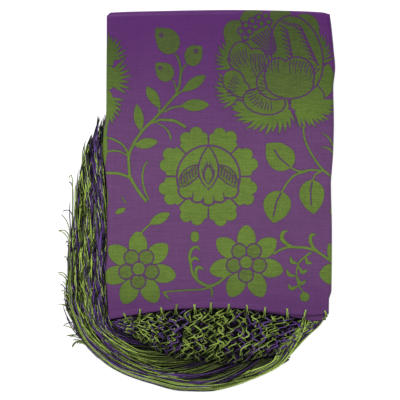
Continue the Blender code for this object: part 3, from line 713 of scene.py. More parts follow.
    def draw(self) -> tuple[np.ndarray, np.ndarray]:
        """All motifs, back to front, as depth in millimetres and tone."""
        self.sprig()
        self.half_flower()
        self.medallion()
        self.peony()
        self.round_leaves()
        self.star(246.3, 262.6)
        self.star(139.0, 269.0, -2.0)
        self.scrolls()
        return self.depth * CHART_SQUARE, self.tone


# Finishes


class Wire:
    """A shader socket that takes part in expressions."""

    def __init__(self, nodes: "NodeDesk", socket: bpy.types.NodeSocket) -> None:
        """Keeps the socket and the desk its nodes are made on."""
        self.nodes = nodes
        self.socket = socket

    def _math(self, operation: str, first: object, second: object) -> "Wire":
        """One Math node on two values."""
        return self.nodes.add("ShaderNodeMath", {"operation": operation}, {0: first, 1: second})

    def __add__(self, other: object) -> "Wire":
        """Sum."""
        return self._math("ADD", self, other)

    def __radd__(self, other: object) -> "Wire":
        """Sum, turned round."""
        return self._math("ADD", other, self)

    def __sub__(self, other: object) -> "Wire":
        """Difference."""
        return self._math("SUBTRACT", self, other)

    def __mul__(self, other: object) -> "Wire":
        """Product."""
        return self._math("MULTIPLY", self, other)

    def step(self, low: float, high: float) -> "Wire":
        """Smooth rise from 0 at low to 1 at high."""
        return self.nodes.add(
            "ShaderNodeMapRange",
            {"interpolation_type": "SMOOTHSTEP"},
            {"Value": self, "From Min": low, "From Max": high},
        )


class NodeDesk:
    """Builds one material's nodes."""

    def __init__(self, name: str) -> None:
        """Starts a material with its shader."""
        self.material = bpy.data.materials.new(name)
        self.material.use_nodes = True
        self.tree = self.material.node_tree
        self.shader = self.tree.nodes["Principled BSDF"]

    def add(self, kind: str, settings: dict[str, object], inputs: dict[object, object],
            output: int | str = 0) -> Wire:
        """Any node: its settings are set first, then its sockets' values or links.

        Args:
            kind: the node's type.
            settings: its properties.
            inputs: values or wires for its sockets, by name or number.
            output: the socket to hand on.

        Returns:
            The output as a wire.
        """
        node = self.tree.nodes.new(kind)
        for key, value in settings.items():
            setattr(node, key, value)
        for key, value in inputs.items():
            self.feed(node.inputs[key], value)
        return Wire(self, node.outputs[output])

    def feed(self, socket: bpy.types.NodeSocket, value: object) -> None:
        """Links a wire to a socket, or sets the socket's own value."""
        if isinstance(value, Wire):
            self.tree.links.new(value.socket, socket)
        else:
            socket.default_value = value

    def place(self) -> Wire:
        """Object coordinates."""
        return self.add("ShaderNodeTexCoord", {}, {}, "Object")

    def attribute(self, name: str) -> Wire:
        """A piece's own number."""
        return self.add("ShaderNodeAttribute", {"attribute_name": name}, {}, "Fac")

    def scaled(self, vector: Wire, scale: tuple[float, float, float]) -> Wire:
        """Coordinates stretched along each axis."""
        return self.add("ShaderNodeMapping", {}, {"Vector": vector, "Scale": scale})

    def noise(self, vector: Wire, scale: float, detail: float = 2.0) -> Wire:
        """Cloudy value from 0 to 1."""
        return self.add("ShaderNodeTexNoise", {}, {"Vector": vector, "Scale": scale, "Detail": detail}, 0)

    def mix(self, factor: object, first: object, second: object) -> Wire:
        """Blend of two colours."""
        node = self.tree.nodes.new("ShaderNodeMix")
        node.data_type = "RGBA"
        self.feed(node.inputs[0], factor)
        self.feed(node.inputs[6], first)
        self.feed(node.inputs[7], second)
        return Wire(self, node.outputs[2])

    def bump(self, height: Wire, strength: float, distance: float) -> None:
        """Fine relief on the shader's normal."""
        made = self.add("ShaderNodeBump", {}, {"Strength": strength, "Distance": distance, "Height": height})
        self.feed(self.shader.inputs["Normal"], made)


def linear(red: float, green: float, blue: float) -> Colour:
    """Colour from screen values of 0 to 255: each is taken to the power of about 2.4."""
    made = []
    for value in (red, green, blue):
        part = value / 255
        made.append(part / 12.92 if part <= 0.04045 else ((part + 0.055) / 1.055) ** 2.4)
    return (made[0], made[1], made[2], 1.0)


@dataclass(frozen=True)
class Jacquard:
    """Satin ground with woven green motifs."""

    # Lit and shaded copies of the ground and motif colours: the lighter one of each pair is painted sheen,
    # the darker one painted shade.
    ground_shaded: Colour = linear(77, 24, 94)
    ground_sheen_lit: Colour = linear(97, 59, 104)
    motif_shaded: Colour = linear(54, 74, 16)
    motif_sheen_lit: Colour = linear(98, 124, 44)
    mixed: Colour = linear(78, 84, 48)
    thread: Colour = linear(24, 14, 26)
    deep: Colour = linear(40, 58, 16)

    def build(self) -> bpy.types.Material:
        """The material: colours follow the woven depth and threads, with painted sheen in the middle and
        painted shade towards the far edge and the hem.
        """
        desk = NodeDesk("cloth_jacquard")
        place = desk.place()
        depth = desk.attribute("woven")
        tone = desk.attribute("tone")
        grain = desk.noise(place, 1 / (0.7 * MM), 3.0)
        weft = desk.noise(desk.scaled(place, (55.0, 1500.0, 55.0)), 1.0, 2.0)
        warp = desk.noise(desk.scaled(place, (1500.0, 55.0, 55.0)), 1.0, 2.0)
        motif = (depth + (grain - 0.5) * 0.45).step(-0.12, 0.12)
        # Painted shade and sheen: colours darken towards the far edge (far) and the hem (low) and stay
        # lighter in the middle, with a little cloudy variation.
        across = desk.add("ShaderNodeSeparateXYZ", {}, {"Vector": place}, "Y")
        clouds = desk.noise(place, 18.0, 2.0)
        far = (across + (clouds - 0.5) * 0.03).step(0.02, 0.145)
        low = (across * -1.0 + (clouds - 0.5) * 0.02).step(0.04, 0.098)
        tone_and_painted_shade = far + low * 0.6
        ground = desk.mix(tone_and_painted_shade, self.ground_sheen_lit, self.ground_shaded)
        green = desk.mix(tone_and_painted_shade, self.motif_sheen_lit, self.motif_shaded)
        green = desk.mix(tone * 0.55, green, self.mixed)
        slanted = desk.add("ShaderNodeMapping", {}, {
            "Vector": place, "Rotation": (0.0, 0.0, 0.7), "Scale": (160.0, 1150.0, 100.0)})
        twill = desk.noise(slanted, 1.0, 1.0)
        fleck = desk.noise(place, 1 / (0.95 * MM), 2.0)
        speck = (fleck * 0.55 + twill * 0.45).step(0.4, 0.66)
        # Twill specks of the weave, made a little stronger towards the far edge as painted shade.
        green = desk.mix(speck * (tone * 0.3 + far * 0.12 + 0.26), green, self.deep)
        colour = desk.mix(motif, ground, green)
        outside = (depth + (fleck - 0.5) * 0.5 + 0.5).step(0.0, 0.3)
        rim = outside - (depth + (grain - 0.5) * 0.4).step(0.0, 0.34)
        colour = desk.mix(rim * 0.36, colour, self.thread)
        thread = (weft - 0.5) * 0.8 + (warp - 0.5) * 0.35 + (grain - 0.5) * 1.1
        dark = (thread + 0.5).step(0.1, 0.9)
        shaded = desk.mix(dark * 0.38, colour, self.thread)
        desk.feed(desk.shader.inputs["Base Color"], shaded)
        desk.feed(desk.shader.inputs["Roughness"], 0.46 + motif * 0.12)
        desk.shader.inputs["Sheen Weight"].default_value = 0.03
        desk.shader.inputs["Sheen Roughness"].default_value = 0.4
        desk.shader.inputs["Specular IOR Level"].default_value = 0.18
        desk.bump(thread + motif * 0.7, 0.4, 0.15 * MM)
        return desk.material


@dataclass(frozen=True)
class Twist:
    """Twisted rayon cord of the fringe."""

    name: str
    # light is the cord's lit colour and dark its colour in full painted shade.
    light: Colour
    dark: Colour

    def build(self) -> bpy.types.Material:
        """The material: each cord has its own tone, with painted shade deeper in the pile and round the sides
        of each tube, and fine plies.
        """
        desk = NodeDesk(self.name)
        tone_and_painted_shade = desk.attribute("tone_and_painted_shade")
        place = desk.place()
        speck = desk.noise(place, 1 / (1.1 * MM), 2.0)
        ply = desk.noise(place, 1 / (0.5 * MM), 1.0)
        level = tone_and_painted_shade * (speck * 1.2 + 0.45)
        colour = desk.mix(level.step(-0.1, 1.05), self.dark, self.light)
        desk.feed(desk.shader.inputs["Base Color"], colour)
        desk.shader.inputs["Roughness"].default_value = 0.5
        desk.shader.inputs["Sheen Weight"].default_value = 0.0
        desk.shader.inputs["Specular IOR Level"].default_value = 0.12
        desk.bump(ply, 0.5, 0.15 * MM)
        return desk.material


# Pieces


@dataclass
class ClothLayer:
    """A layer of the folded cloth as a thin shell: rolled over the folds, flat at the hem."""

    name: str
    node: str
    hem: Sequence[Point]
    drop: float  # depth under the pack's upper side
    margin: float  # in from the pack's outline
    side_roll: float  # radii of the rolled edges
    far_roll: float
    hem_roll: float
    under: float  # degrees that the rolls turn under
    spacing: float  # between the shell's points
    flowered: bool

    def stations(self, length: float, start: float, end: float, first: float,
                 last: float) -> Cords:
        """Places over one direction of the shell.

        Over each rolled edge the angle runs from under the fold to the flat. Arc length there is
        radius times angle, so motifs keep their size round the fold.

        Args:
            length: flat length between both edges.
            start: radius of the first roll.
            end: radius of the last roll.
            first: degrees that the first roll turns under.
            last: degrees that the last roll turns under.

        Returns:
            Share of the length, drop as a share of a full roll, and flat overhang at each place.
        """
        steps = max(4, int(1.6 * max(start, end) / self.spacing) + 3)
        low = np.radians(np.linspace(-first, 90.0, steps, endpoint=False))
        high = np.radians(np.linspace(90.0, -last, steps + 1)[1:])
        inner = graded(start, length - end, int((length - start - end) / self.spacing) + 1)
        at = np.concatenate([start * (1 - np.cos(low)), inner, length - end * (1 - np.cos(high))])
        fall = np.concatenate([start * (np.sin(low) - 1), 0 * inner, end * (np.sin(high) - 1)])
        over = np.concatenate([
            start * (1 - (np.pi / 2 - low)) - start * (1 - np.cos(low)), 0 * inner,
            end * (1 - np.cos(high)) - end * (1 - (np.pi / 2 - high)),
        ])
        return at / length, fall, over

    def build(self, material: bpy.types.Material) -> bpy.types.Object:
        """Shell on the layer's form, with its creases and the woven chart.

        Each point lies between the edges at its shares across and along, lowered over the rolled
        edges by the longer of both falls, and raised by creases and a slight ripple.
        """
        width, depth = PACK_SIZE[0] - 2 * self.margin, PACK_SIZE[1] - self.margin
        share_u, fall_u, over_u = self.stations(width, self.side_roll, self.side_roll, self.under, self.under)
        share_v, fall_v, over_v = self.stations(depth, self.hem_roll, self.far_roll, 0.0, self.under)
        u, v = np.meshgrid(share_u, share_v, indexing="xy")
        x = -69.0 + 174.0 * u
        for _ in range(3):
            low = single(self.hem, x)
            high = single(FAR_EDGE, x) - self.margin
            y = low + (high - low) * v
            left = single(LEFT_EDGE, y) + self.margin
            right = single(RIGHT_EDGE, y) - self.margin
            x = left + (right - left) * u
        near_hem = smoothstep(0.02, 0.08, v)
        fall_u = fall_u[None, :] * (0.42 + 0.58 * near_hem)
        fall = -np.hypot(fall_u, fall_v[:, None])
        ripple = 0.10 * np.sin(0.11 * x + 0.05 * y) * np.sin(0.07 * y - 0.04 * x + 1.0)
        wave = 0.35 * np.sin(0.16 * y + 0.8) * smoothstep(0.86, 0.99, u)
        z = pack_height(x, y) - self.drop + fall
        flat_x, flat_y = x + over_u[None, :], y + over_v[:, None]
        if self.flowered:
            inside = y - single(self.hem, x)
            turned = 0.28 * smoothstep(4.4, 3.5, inside)
            z = z + 3.2 * crease_height(x, y) + ripple + wave + turned
            woven, tone = WovenFlowers(flat_x.ravel(), flat_y.ravel()).draw()
        else:
            woven, tone = np.full(x.size, GROUND), np.zeros(x.size)
        points = np.stack([x, y, z], axis=-1).reshape(-1, 3)
        faces = grid_faces(*x.shape)
        piece = mesh_piece(self.name, points, faces, material, {"woven": woven, "tone": tone})
        settle(piece, [self.node])
        return piece


@dataclass
class HiddenLayers:
    """The folded layers under the two that show: many soft folds round the pack's edge."""

    folds: int = 9
    height: float = 8.6
    around: int = 420
    per_fold: int = 6

    def edge(self) -> np.ndarray:
        """Outline of the pack from its four edges, in order left, far, right, hem."""
        quarter = self.around // 4
        run = np.linspace(0, 1, quarter, endpoint=False)
        left_y = -91.5 + (143.5 + 91.5) * run
        far_x = -68.0 + (103.5 + 68.0) * run
        sides = [
            np.column_stack([single(LEFT_EDGE, left_y), left_y]),
            np.column_stack([far_x, single(FAR_EDGE, far_x)]),
            np.column_stack([single(RIGHT_EDGE, left_y[::-1]), left_y[::-1]]),
            np.column_stack([far_x[::-1], single(HEM_EDGE, far_x[::-1])]),
        ]
        return np.vstack(sides)

    def build(self, material: bpy.types.Material) -> bpy.types.Object:
        """Closed pile: each fold is a half round nose, a little further in or out than the next.

        The inset of a ring is a fixed amount, less a half round over each fold's height, plus a
        slow wave round the edge that differs from fold to fold.
        """
        outline = self.edge()
        middle, size = np.array(PACK_MIDDLE), np.array(PACK_HALF)
        turn = np.linspace(0, 2 * np.pi, len(outline), endpoint=False)
        rings = []
        levels = np.linspace(0, self.folds, self.folds * self.per_fold + 1)
        for level in levels:
            nose = abs(math.sin(math.pi * level)) ** 0.6
            fold = min(int(level), self.folds - 1)
            wave = 0.35 * np.sin(turn * (3 + fold % 4) + fold * 1.9) + 0.2 * np.sin(turn * 17 + fold)
            inset = 2.1 - 1.15 * nose + wave * nose + 0.5 * (fold > self.folds - 3)
            flat = middle + (outline - middle) * (1 - inset[:, None] / size)
            rings.append(np.column_stack([flat, np.full(len(flat), self.height * level / self.folds)]))
        top = rings[-1]
        for share in (0.97, 0.9, 0.6, 0.3, 0.01):
            flat = middle + (top[:, :2] - middle) * share
            lift = pack_height(flat[:, 0], flat[:, 1]) - PACK_TOP
            rings.append(np.column_stack([flat, self.height + 0.9 * (1 - share) ** 0.3 + lift]))
        base = rings[0]
        for share in (0.9, 0.5, 0.01):
            flat = middle + (base[:, :2] - middle) * share
            rings.insert(0, np.column_stack([flat, np.zeros(len(flat))]))
        grid = np.array(rings)
        points = grid.reshape(-1, 3)
        faces = grid_faces(grid.shape[0], grid.shape[1], wrap=True)[:, ::-1]
        plain = {"woven": np.full(len(points), GROUND), "tone": np.zeros(len(points))}
        piece = mesh_piece("hidden_layers", points, faces, material, plain)
        settle(piece, ["cloth_core"])
        return piece


@dataclass
class Fringe:
    """Cords of the fringe in both colours: hem loops, knotted net and loose strands."""

    seed: int = 11
    net_layers: int = 4
    net_rows: int = 9
    net_columns: int = 20
    edge_cords: int = 48
    strands: int = 660
    bunch: int = 5
    net_radius: float = 0.29
    edge_radius: float = 0.40
    loop_radius: float = 0.44
    strand_radius: float = 0.41
    stray_radius: float = 0.38
    lowest: float = 0.7  # height of the lowest cords' middle
    shifts: tuple[float, ...] = (0.0, 0.5, 0.27, 0.76)  # of the net layers, in diamonds
    phases: tuple[float, ...] = (0.0, 0.9, 0.4, 1.4)  # of their zigzags
    outer: tuple[Point, ...] = (  # station, furthest place across the band
        (11, 1.0), (12.4, 0.93), (13.4, 0.86), (15.6, 0.76), (17.2, 0.66), (18.2, 0.56), (19.0, 0.42),
        (19.6, 0.3), (20.6, 0.1),
    )

    def __post_init__(self) -> None:
        """Starts the repeatable random numbers and works out the width of a diamond."""
        self.rng = np.random.default_rng(self.seed)
        self.net_pitch = 1 / self.net_columns

    def net_place(self, u: np.ndarray, v: np.ndarray) -> Cords:
        """Point of the net's sheet and its upper height, from the hem (v = 0) to its lower edge."""
        row = along(NET_EDGES, np.clip(u, 0, 1) * (len(NET_EDGES) - 1))
        return *between(row, v), 11.1 - 2.7 * v + 0.5 * np.sin(np.pi * np.clip(v, 0, 1))

    def net_shade(self, z: np.ndarray, top: np.ndarray, v: np.ndarray) -> np.ndarray:
        """Light that reaches a net cord: less with depth under the top and towards the lower edge."""
        return smoothstep(-4.0, -0.4, z - top) ** 1.3 * (1 - 0.65 * smoothstep(0.68, 1.0, v))

    def net(self, layer: int) -> Cords:
        """Cords of one net layer as paths, with radii and a tone with painted shade.

        A cord runs down from the hem in a zigzag between two neighbouring rows of knots. Each
        cord is two plies that turn about each other, and it dips under its neighbours in turn.

        Args:
            layer: 0 for the highest.

        Returns:
            Paths, radii and tones with painted shade, cords by stations.
        """
        rng = self.rng
        stations = self.net_rows * 6 + 1
        down = np.linspace(-0.03, 1.0, stations)
        shift = self.shifts[layer % 4]
        paths, tones_and_painted_shades = [], []
        for index in range(-1, self.net_columns):
            for lean in (-1, 1):
                phase = down * self.net_rows + rng.normal(0, 0.2) + self.phases[layer % 4]
                phase = phase + 0.3 * np.sin(down * rng.uniform(7, 16) + rng.uniform(0, TURN))
                tri = 4 * np.abs(np.mod(phase / 2 + 0.25, 1.0) - 0.5) - 1
                zig = 0.2 * tri + 0.8 * np.sin(np.pi / 2 * tri)
                sway = 0.2 * self.net_pitch * np.sin(phase * rng.uniform(0.6, 1.6) + rng.uniform(0, TURN))
                middle = (index + shift + 0.5 + 0.25 * lean) * self.net_pitch
                u = middle + lean * zig * self.net_pitch * 0.33 + sway
                dip = 1.35 * np.sin(phase * np.pi * rng.uniform(0.7, 1.2) + rng.uniform(0, TURN)) - 0.6
                turn = phase * 2 * np.pi * rng.uniform(0.35, 0.8) + rng.uniform(0, TURN)
                glow = rng.uniform(0.4, 1.15)
                if ((u > -0.01) & (u < 1.005)).mean() < 0.9:
                    continue
                u = np.minimum(u, 0.955 + 0.02 * np.sin(phase))
                for ply in (-1, 1):
                    x, y, top = self.net_place(u, down)
                    x = x + ply * 0.55 * np.cos(turn)
                    z = top - 0.8 - layer * 1.1 + dip + ply * 0.42 * np.sin(turn)
                    z = np.clip(z + rng.normal(0, 0.05, stations), self.lowest, top - 0.35)
                    paths.append(np.stack([x, y, z], axis=-1))
                    # Painted shade: darker deeper under the net's top and towards its lower edge, with the
                    # two plies lit and shaded in turn as they twist.
                    bright = glow * self.net_shade(z, top, down) * (0.85 + 0.25 * ply * np.sin(turn))
                    tones_and_painted_shades.append(bright)
        paths = np.array(paths)
        return paths, np.full(paths.shape[:2], self.net_radius), np.array(tones_and_painted_shades)

    def knots(self, layer: int) -> Cords:
        """Short turns of cord round the crossings of one net layer."""
        rng = self.rng
        shift = self.shifts[layer % 4]
        turn = np.linspace(0, 2 * np.pi * 1.3, 12)
        paths, tones_and_painted_shades = [], []
        for row in range(1, self.net_rows + 1):
            for index in range(-1, self.net_columns):
                half = 0.5 if (row + layer) % 2 else 0.0
                u = (index + shift + 0.5 + half + rng.normal(0, 0.14)) * self.net_pitch
                v = (row - 0.5 + rng.normal(0, 0.18)) / self.net_rows
                if not 0.01 < u < 0.95 or rng.uniform() < 0.6:
                    continue
                x, y, top = self.net_place(np.array([u]), np.array([v]))
                tilt = rng.uniform(0, 3.1)
                wide, tall = 0.75 * np.cos(turn), 0.4 * np.sin(turn)
                ring_x = wide * math.cos(tilt) - tall * math.sin(tilt)
                ring_y = wide * math.sin(tilt) + tall * math.cos(tilt) + 0.12 * turn - 0.4
                z = top - 1.2 - layer * 1.05 + 0.35 * np.sin(2 * turn + tilt)
                z = np.clip(z, self.lowest, top - 0.3)
                paths.append(np.stack([x + ring_x, y + ring_y, z], axis=-1))
                # Painted shade, darker deeper under the net's top and towards its lower edge.
                tones_and_painted_shades.append(rng.uniform(0.45, 1.1) * self.net_shade(z, top, v))
        paths = np.array(paths)
        return paths, np.full(paths.shape[:2], self.net_radius), np.array(tones_and_painted_shades)

    def side_cords(self) -> Cords:
        """Cords that gather along the net's right edge, from the hem's corner to the strands."""
        rng = self.rng
        down = np.linspace(0.0, 0.94, 22)
        paths, tones_and_painted_shades = [], []
        for index in range(self.edge_cords):
            depth = rng.uniform(0, 1)
            start = rng.uniform(0.9, 1.0)
            end = 1.0 - rng.uniform(0, 0.13)
            u = start + (end - start) * down + 0.006 * np.sin(down * rng.uniform(4, 9) + rng.uniform(0, TURN))
            x, y, top = self.net_place(u, down)
            z = top - 0.9 - 5.5 * depth + 0.3 * np.sin(down * 8 + index)
            z = np.clip(z, self.lowest, top - 0.35)
            station = np.linspace(0.7, rng.uniform(2.6, 4.4), 16)
            share = np.clip(1.0 - (1.0 - end) * 4.5 - 0.05 * np.sin(station * 2 + index), 0.05, 0.98)
            lane = np.column_stack(between(along(BAND, station), share))
            fall = z[-1] + (0.9 + 5.0 * (1 - depth) - z[-1]) * np.linspace(0.1, 1, 16)
            fall = np.maximum(fall, self.lowest)
            line = np.column_stack([  # from under the hem, down the net's edge, into the strands
                np.concatenate([[x[0] - 0.3, x[0] - 0.1], x, lane[:, 0]]),
                np.concatenate([[y[0] + 4.6, y[0] + 2.3], y, lane[:, 1]]),
                np.concatenate([[z[0], z[0]], z, fall]),
            ])
            for _ in range(14):  # evens out the bend between net and strands
                line[1:-1] = (line[:-2] + line[2:]) / 4 + line[1:-1] / 2
            paths.append(line)
            # Painted shade: cords lying deeper in the pile are darker.
            light = smoothstep(1.0, 0.1, np.array(depth)) * rng.uniform(0.35, 1.0)
            tones_and_painted_shades.append(np.full(len(line), light))
        paths = np.array(paths)
        return paths, np.full(paths.shape[:2], self.edge_radius), np.array(tones_and_painted_shades)

    def dark_shaded_beds(self) -> list[Cords]:
        """The deepest part of the net and of the strands as two low quilted beds, near black with painted
        shade.

        Each is a grid over the net's or the band's two directions. Its height is a share of the
        pile's, falling to the floor at its rim, with small ripples like the cords of the pile.

        Returns:
            Points, faces and painted shade of both.
        """
        u, v = np.meshgrid(np.linspace(0.0, 0.998, 90), np.linspace(-0.09, 1.06, 50), indexing="xy")
        x, y, top = self.net_place(u, v)
        y = y + 2.5 * smoothstep(0.1, -0.09, v)
        rim = smoothstep(0.0, 0.06, u) * smoothstep(0.998, 0.94, u) * smoothstep(1.06, 0.9, v)
        ripple = np.sin(u * 130 + v * 55) * np.sin(u * 130 - v * 55)
        z = 0.6 + (0.42 * (top - 0.7) + 0.35 * ripple) * rim
        # Painted shade: the net's bed is near black, barely lighter on its ripples.
        net = (np.stack([x, y, z], axis=-1).reshape(-1, 3), grid_faces(*x.shape)[:, ::-1],
               (0.05 + 0.05 * ripple).ravel())
        station, part = np.meshgrid(np.linspace(0.3, 18.6, 150), np.linspace(0.0, 1.0, 26), indexing="xy")
        limit = np.interp(station, [0, 9, 11, 13.4, 15.6, 17.2, 18.6],
                          [0.9, 0.9, 0.86, 0.76, 0.62, 0.45, 0.15])
        inner = -0.13 - 0.2 * smoothstep(9.0, 5.0, station) * smoothstep(0.3, 2.5, station)
        inner = inner - 0.12 * np.exp(-(((station - 10.6) / 1.0) ** 2))
        share = inner + (limit - inner) * part
        x, y = between(along(BAND, station), share)
        ends = smoothstep(0.3, 1.2, station) * smoothstep(18.6, 17.0, station)
        z = 0.6 + (1.7 + 0.3 * np.sin(station * 0.9 + part * 50)) * np.sin(np.pi * part) ** 0.5 * ends
        # Painted shade: the strands' bed is near black too.
        strands = (np.stack([x, y, z], axis=-1).reshape(-1, 3), grid_faces(*x.shape)[:, ::-1],
                   (0.04 + 0.04 * np.sin(part * 50 + station)).ravel())
        return [net, strands]

    def loops(self) -> Cords:
        """Two cords side by side for each loop: out of the cloth, over the hem and down to the net."""
        paths = []
        for x, slant, reach in LOOPS:
            hem = float(single(HEM_EDGE, np.array(x)))
            top = float(pack_height(np.array(x), np.array(hem + 2.0))) + 0.25
            lean = math.tan(math.radians(slant))
            for ply in (-1, 1):
                rows = [  # distance out from the hem's edge, height over the cloth
                    (-reach - 0.2, -0.6), (-reach + 0.1, 0.3), (-reach + 0.9, 0.8), (-0.8, 0.75),
                    (0.6, 0.45), (1.8, -0.5), (3.2, -1.6), (4.6, -2.6),
                ]
                place = along(rows, np.linspace(0, len(rows) - 1, 22))
                out, lift = place[:, 0], place[:, 1]
                spread = 0.36 + 0.3 * np.clip(out / 3.0, 0, 2)
                twist = 0.18 * np.sin(out * 1.6 + slant)
                px = x + lean * (out + reach) + ply * (spread + twist)
                px = px - 3.4 * smoothstep(0.4, 4.4, out) * smoothstep(90, 99, np.array(x))
                paths.append(np.stack([px, hem - out, top + lift], axis=-1))
        paths = np.array(paths)
        # Painted shade: each loop darkens along its length as it goes down into the net.
        light = self.rng.uniform(0.4, 0.85, (len(paths), 1)) * np.linspace(1.0, 0.5, 22)
        return paths, np.full(paths.shape[:2], self.loop_radius), light

    def loose(self) -> Cords:
        """Paths of the loose strands, from the net's lower edge to their tips.

        A strand leaves the net at its root station and moves out across the band, towards the
        place that is set by how far right its root lies, by a quarter sine. It follows that place
        along the band to its own end. Height is its level in the pile, lower near the band's
        outer edge, and slow wanders are added sideways. Near the tip it curls away.

        Returns:
            Paths, radii and tones with painted shade, strands by stations.
        """
        rng = self.rng
        count, steps = self.strands, 54
        groups = count // self.bunch + 1
        bunch = np.repeat(np.arange(groups), self.bunch)[:count]

        def own(kind: Callable[..., np.ndarray], low: float, high: float) -> np.ndarray:
            """A random number for each strand."""
            return kind(low, high, count)[:, None]

        def shared(kind: Callable[..., np.ndarray], low: float, high: float) -> np.ndarray:
            """A random number for each bunch, the same for its strands."""
            return kind(low, high, groups)[bunch][:, None]

        root = shared(rng.uniform, -0.4, 10.3) + own(rng.normal, 0, 0.12)
        lane = shared(rng.normal, 0, 0.06) + own(rng.normal, 0, 0.016)
        place = np.clip(1 - (root + 0.2) / 10.4 + lane, 0.0, 0.99)
        far = single(REACH, place) + 0.2 - 5.4 * own(rng.beta, 1.0, 1.25) * (0.3 + 0.7 * place)
        start, far = np.maximum(root, 0), np.maximum(far, root + 4.5)
        part = np.linspace(0, 1, steps)
        station = start + (far - start) * part
        run = (station - root) / (3.4 - 2.2 * np.clip(root, 0, 10) / 10.0)
        grow = np.sin(np.pi / 2 * np.clip(run, 0, 1))
        left = smoothstep(8.5, 12.5, station)
        free = 0.3 + 0.7 * left
        swing = 0.07 * shared(rng.normal, 0, 1)
        wander = swing * np.sin(station * shared(rng.uniform, 0.4, 1.0) + shared(rng.uniform, 0, TURN))
        wander = wander * (0.5 + 0.5 * left)
        for size, low, high in ((0.042, 1.2, 3.0), (0.026, 3.4, 6.2)):
            swing = size * free * own(rng.normal, 0, 1)
            wander += swing * np.sin(station * own(rng.uniform, low, high) + own(rng.uniform, 0, TURN))
        drift = shared(rng.normal, 0, 0.13) + own(rng.normal, 0, 0.05)
        drift = drift * np.tanh((station - shared(rng.uniform, 8.5, 12.5)) / 2.0)
        share = (place + drift) * grow + wander * grow - 0.16 * (1 - smoothstep(0.0, 0.7, run))
        share = np.where(share > 0.98, 1.96 - share, share)
        share = np.clip(share, -0.07 - 0.12 * (1 - left), 0.99 - 0.02 * own(rng.uniform, 0, 1))
        outer = np.interp(station, *np.transpose(self.outer))
        share = outer - np.logaddexp(0.0, (outer - share) * 30.0) / 30.0 + 0.01
        x, y = between(along(BAND, station), share)
        sink = station * own(rng.uniform, 1.0, 4.0) + own(rng.uniform, 0, TURN)
        height = shared(rng.uniform, 0, 1) + own(rng.normal, 0, 0.07)
        level = np.clip(height + 0.3 * np.sin(sink) * free, 0, 1)
        pile = 8.6 - 3.6 * np.clip(share, 0, 1) ** 3 - 1.6 * smoothstep(15, 21, station)
        z = 0.8 + level * (pile - 0.8) * (0.55 + 0.45 * smoothstep(0.0, 0.8, run))
        along_x, along_y = np.gradient(x, axis=1), np.gradient(y, axis=1)
        size = np.maximum(np.hypot(along_x, along_y), 1e-6)
        curl = own(rng.normal, 0.3, 1.3) * (0.4 + 0.6 * place)
        bend = smoothstep(0.75, 1.0, part) ** 1.4 * curl * 1.8 * left[:, -1:]
        x, y = x - along_y / size * bend, y + along_x / size * bend
        paths = np.stack([x, y, np.maximum(z, 0.65)], axis=-1)
        radii = np.full((count, steps), self.strand_radius)
        radii[:, -4:] *= np.array([0.97, 0.9, 0.8, 0.65])
        glow = 0.07 + 1.25 * own(rng.uniform, 0, 1) ** (1.6 + 0.5 * left)
        # Painted shade in bands along each strand, as if it dipped in and out of the pile.
        beat = station * own(rng.uniform, 2.5, 5.5) + own(rng.uniform, 0, TURN)
        painted_dip_shade = 1.0 - (0.35 + 0.5 * left) * smoothstep(0.0, 0.8, np.sin(beat))
        # Painted shade deeper in the pile, and a brighter colour towards the band's left part.
        tone_and_painted_shade = glow * painted_dip_shade * (0.1 + 0.9 * smoothstep(0.4, 0.95, level)) * (0.92 + 0.4 * left)
        # Painted shade near each root, where the strand leaves the net.
        return paths, radii, tone_and_painted_shade * (0.35 + 0.65 * smoothstep(0.1, 1.1, run))

    def strays(self) -> Cords:
        """Strands on top of the pile whose tips curl out past its edge."""
        rng = self.rng
        paths = []
        lane = np.arange(0, 21, 0.1)
        rows = along(BAND, lane)
        tips = np.repeat(np.array(STRAY_TIPS), 2, axis=0)
        tips[:, :2] += rng.normal(0, 1.5, (len(tips), 2)) * (np.arange(len(tips)) % 2)[:, None]
        tips[:, 0] = np.maximum(tips[:, 0], -108.2)
        for x, y, z in tips:
            place = 0.90 + rng.uniform(-0.06, 0.04)
            line = np.column_stack(between(rows, place))
            near = int(np.argmin(np.hypot(line[:, 0] - x, line[:, 1] - y)))
            last = max(near - int(rng.integers(5, 11)), 8)
            first = max(last - int(rng.integers(45, 80)), 2)
            track = line[np.linspace(first, last, 22).astype(int)]
            pile = 6.2 + 0.4 * np.sin(np.linspace(0, 5, 22))
            part = np.linspace(0, 1, 10)[1:]
            knee = track[-1] + (track[-1] - track[-4]) * 0.9
            bow = ((1 - part) ** 2)[:, None] * track[-1] + (2 * part * (1 - part))[:, None] * knee
            bow = bow + (part**2)[:, None] * np.array([x, y])
            both = np.vstack([track, bow])
            paths.append(np.column_stack([both, np.concatenate([pile, pile[-1] + (z - pile[-1]) * part])]))
        paths = np.array(paths)
        tone_and_painted_shade = rng.uniform(0.25, 0.8, (len(paths), 1)) * np.ones(paths.shape[1])
        return paths, np.full(paths.shape[:2], self.stray_radius), tone_and_painted_shade

    def piece(self, name: str, cord: Cord, parts: list[Cords],
              sides: int, nodes: Sequence[str], finish: dict[Cord, bpy.types.Material],
              beds: Sequence[Cords] = ()) -> None:
        """One object from groups of cords, riding on the body.

        Args:
            name: the piece's name.
            cord: its colour.
            parts: paths, radii and tones with painted shade of each group.
            sides: corners of each tube.
            nodes: the solids it stands for.
            finish: material of each colour.
            beds: points, faces and painted shade of the near-black beds under the cords.
        """
        points, faces, tones_and_painted_shades = [], [], []
        start = 0
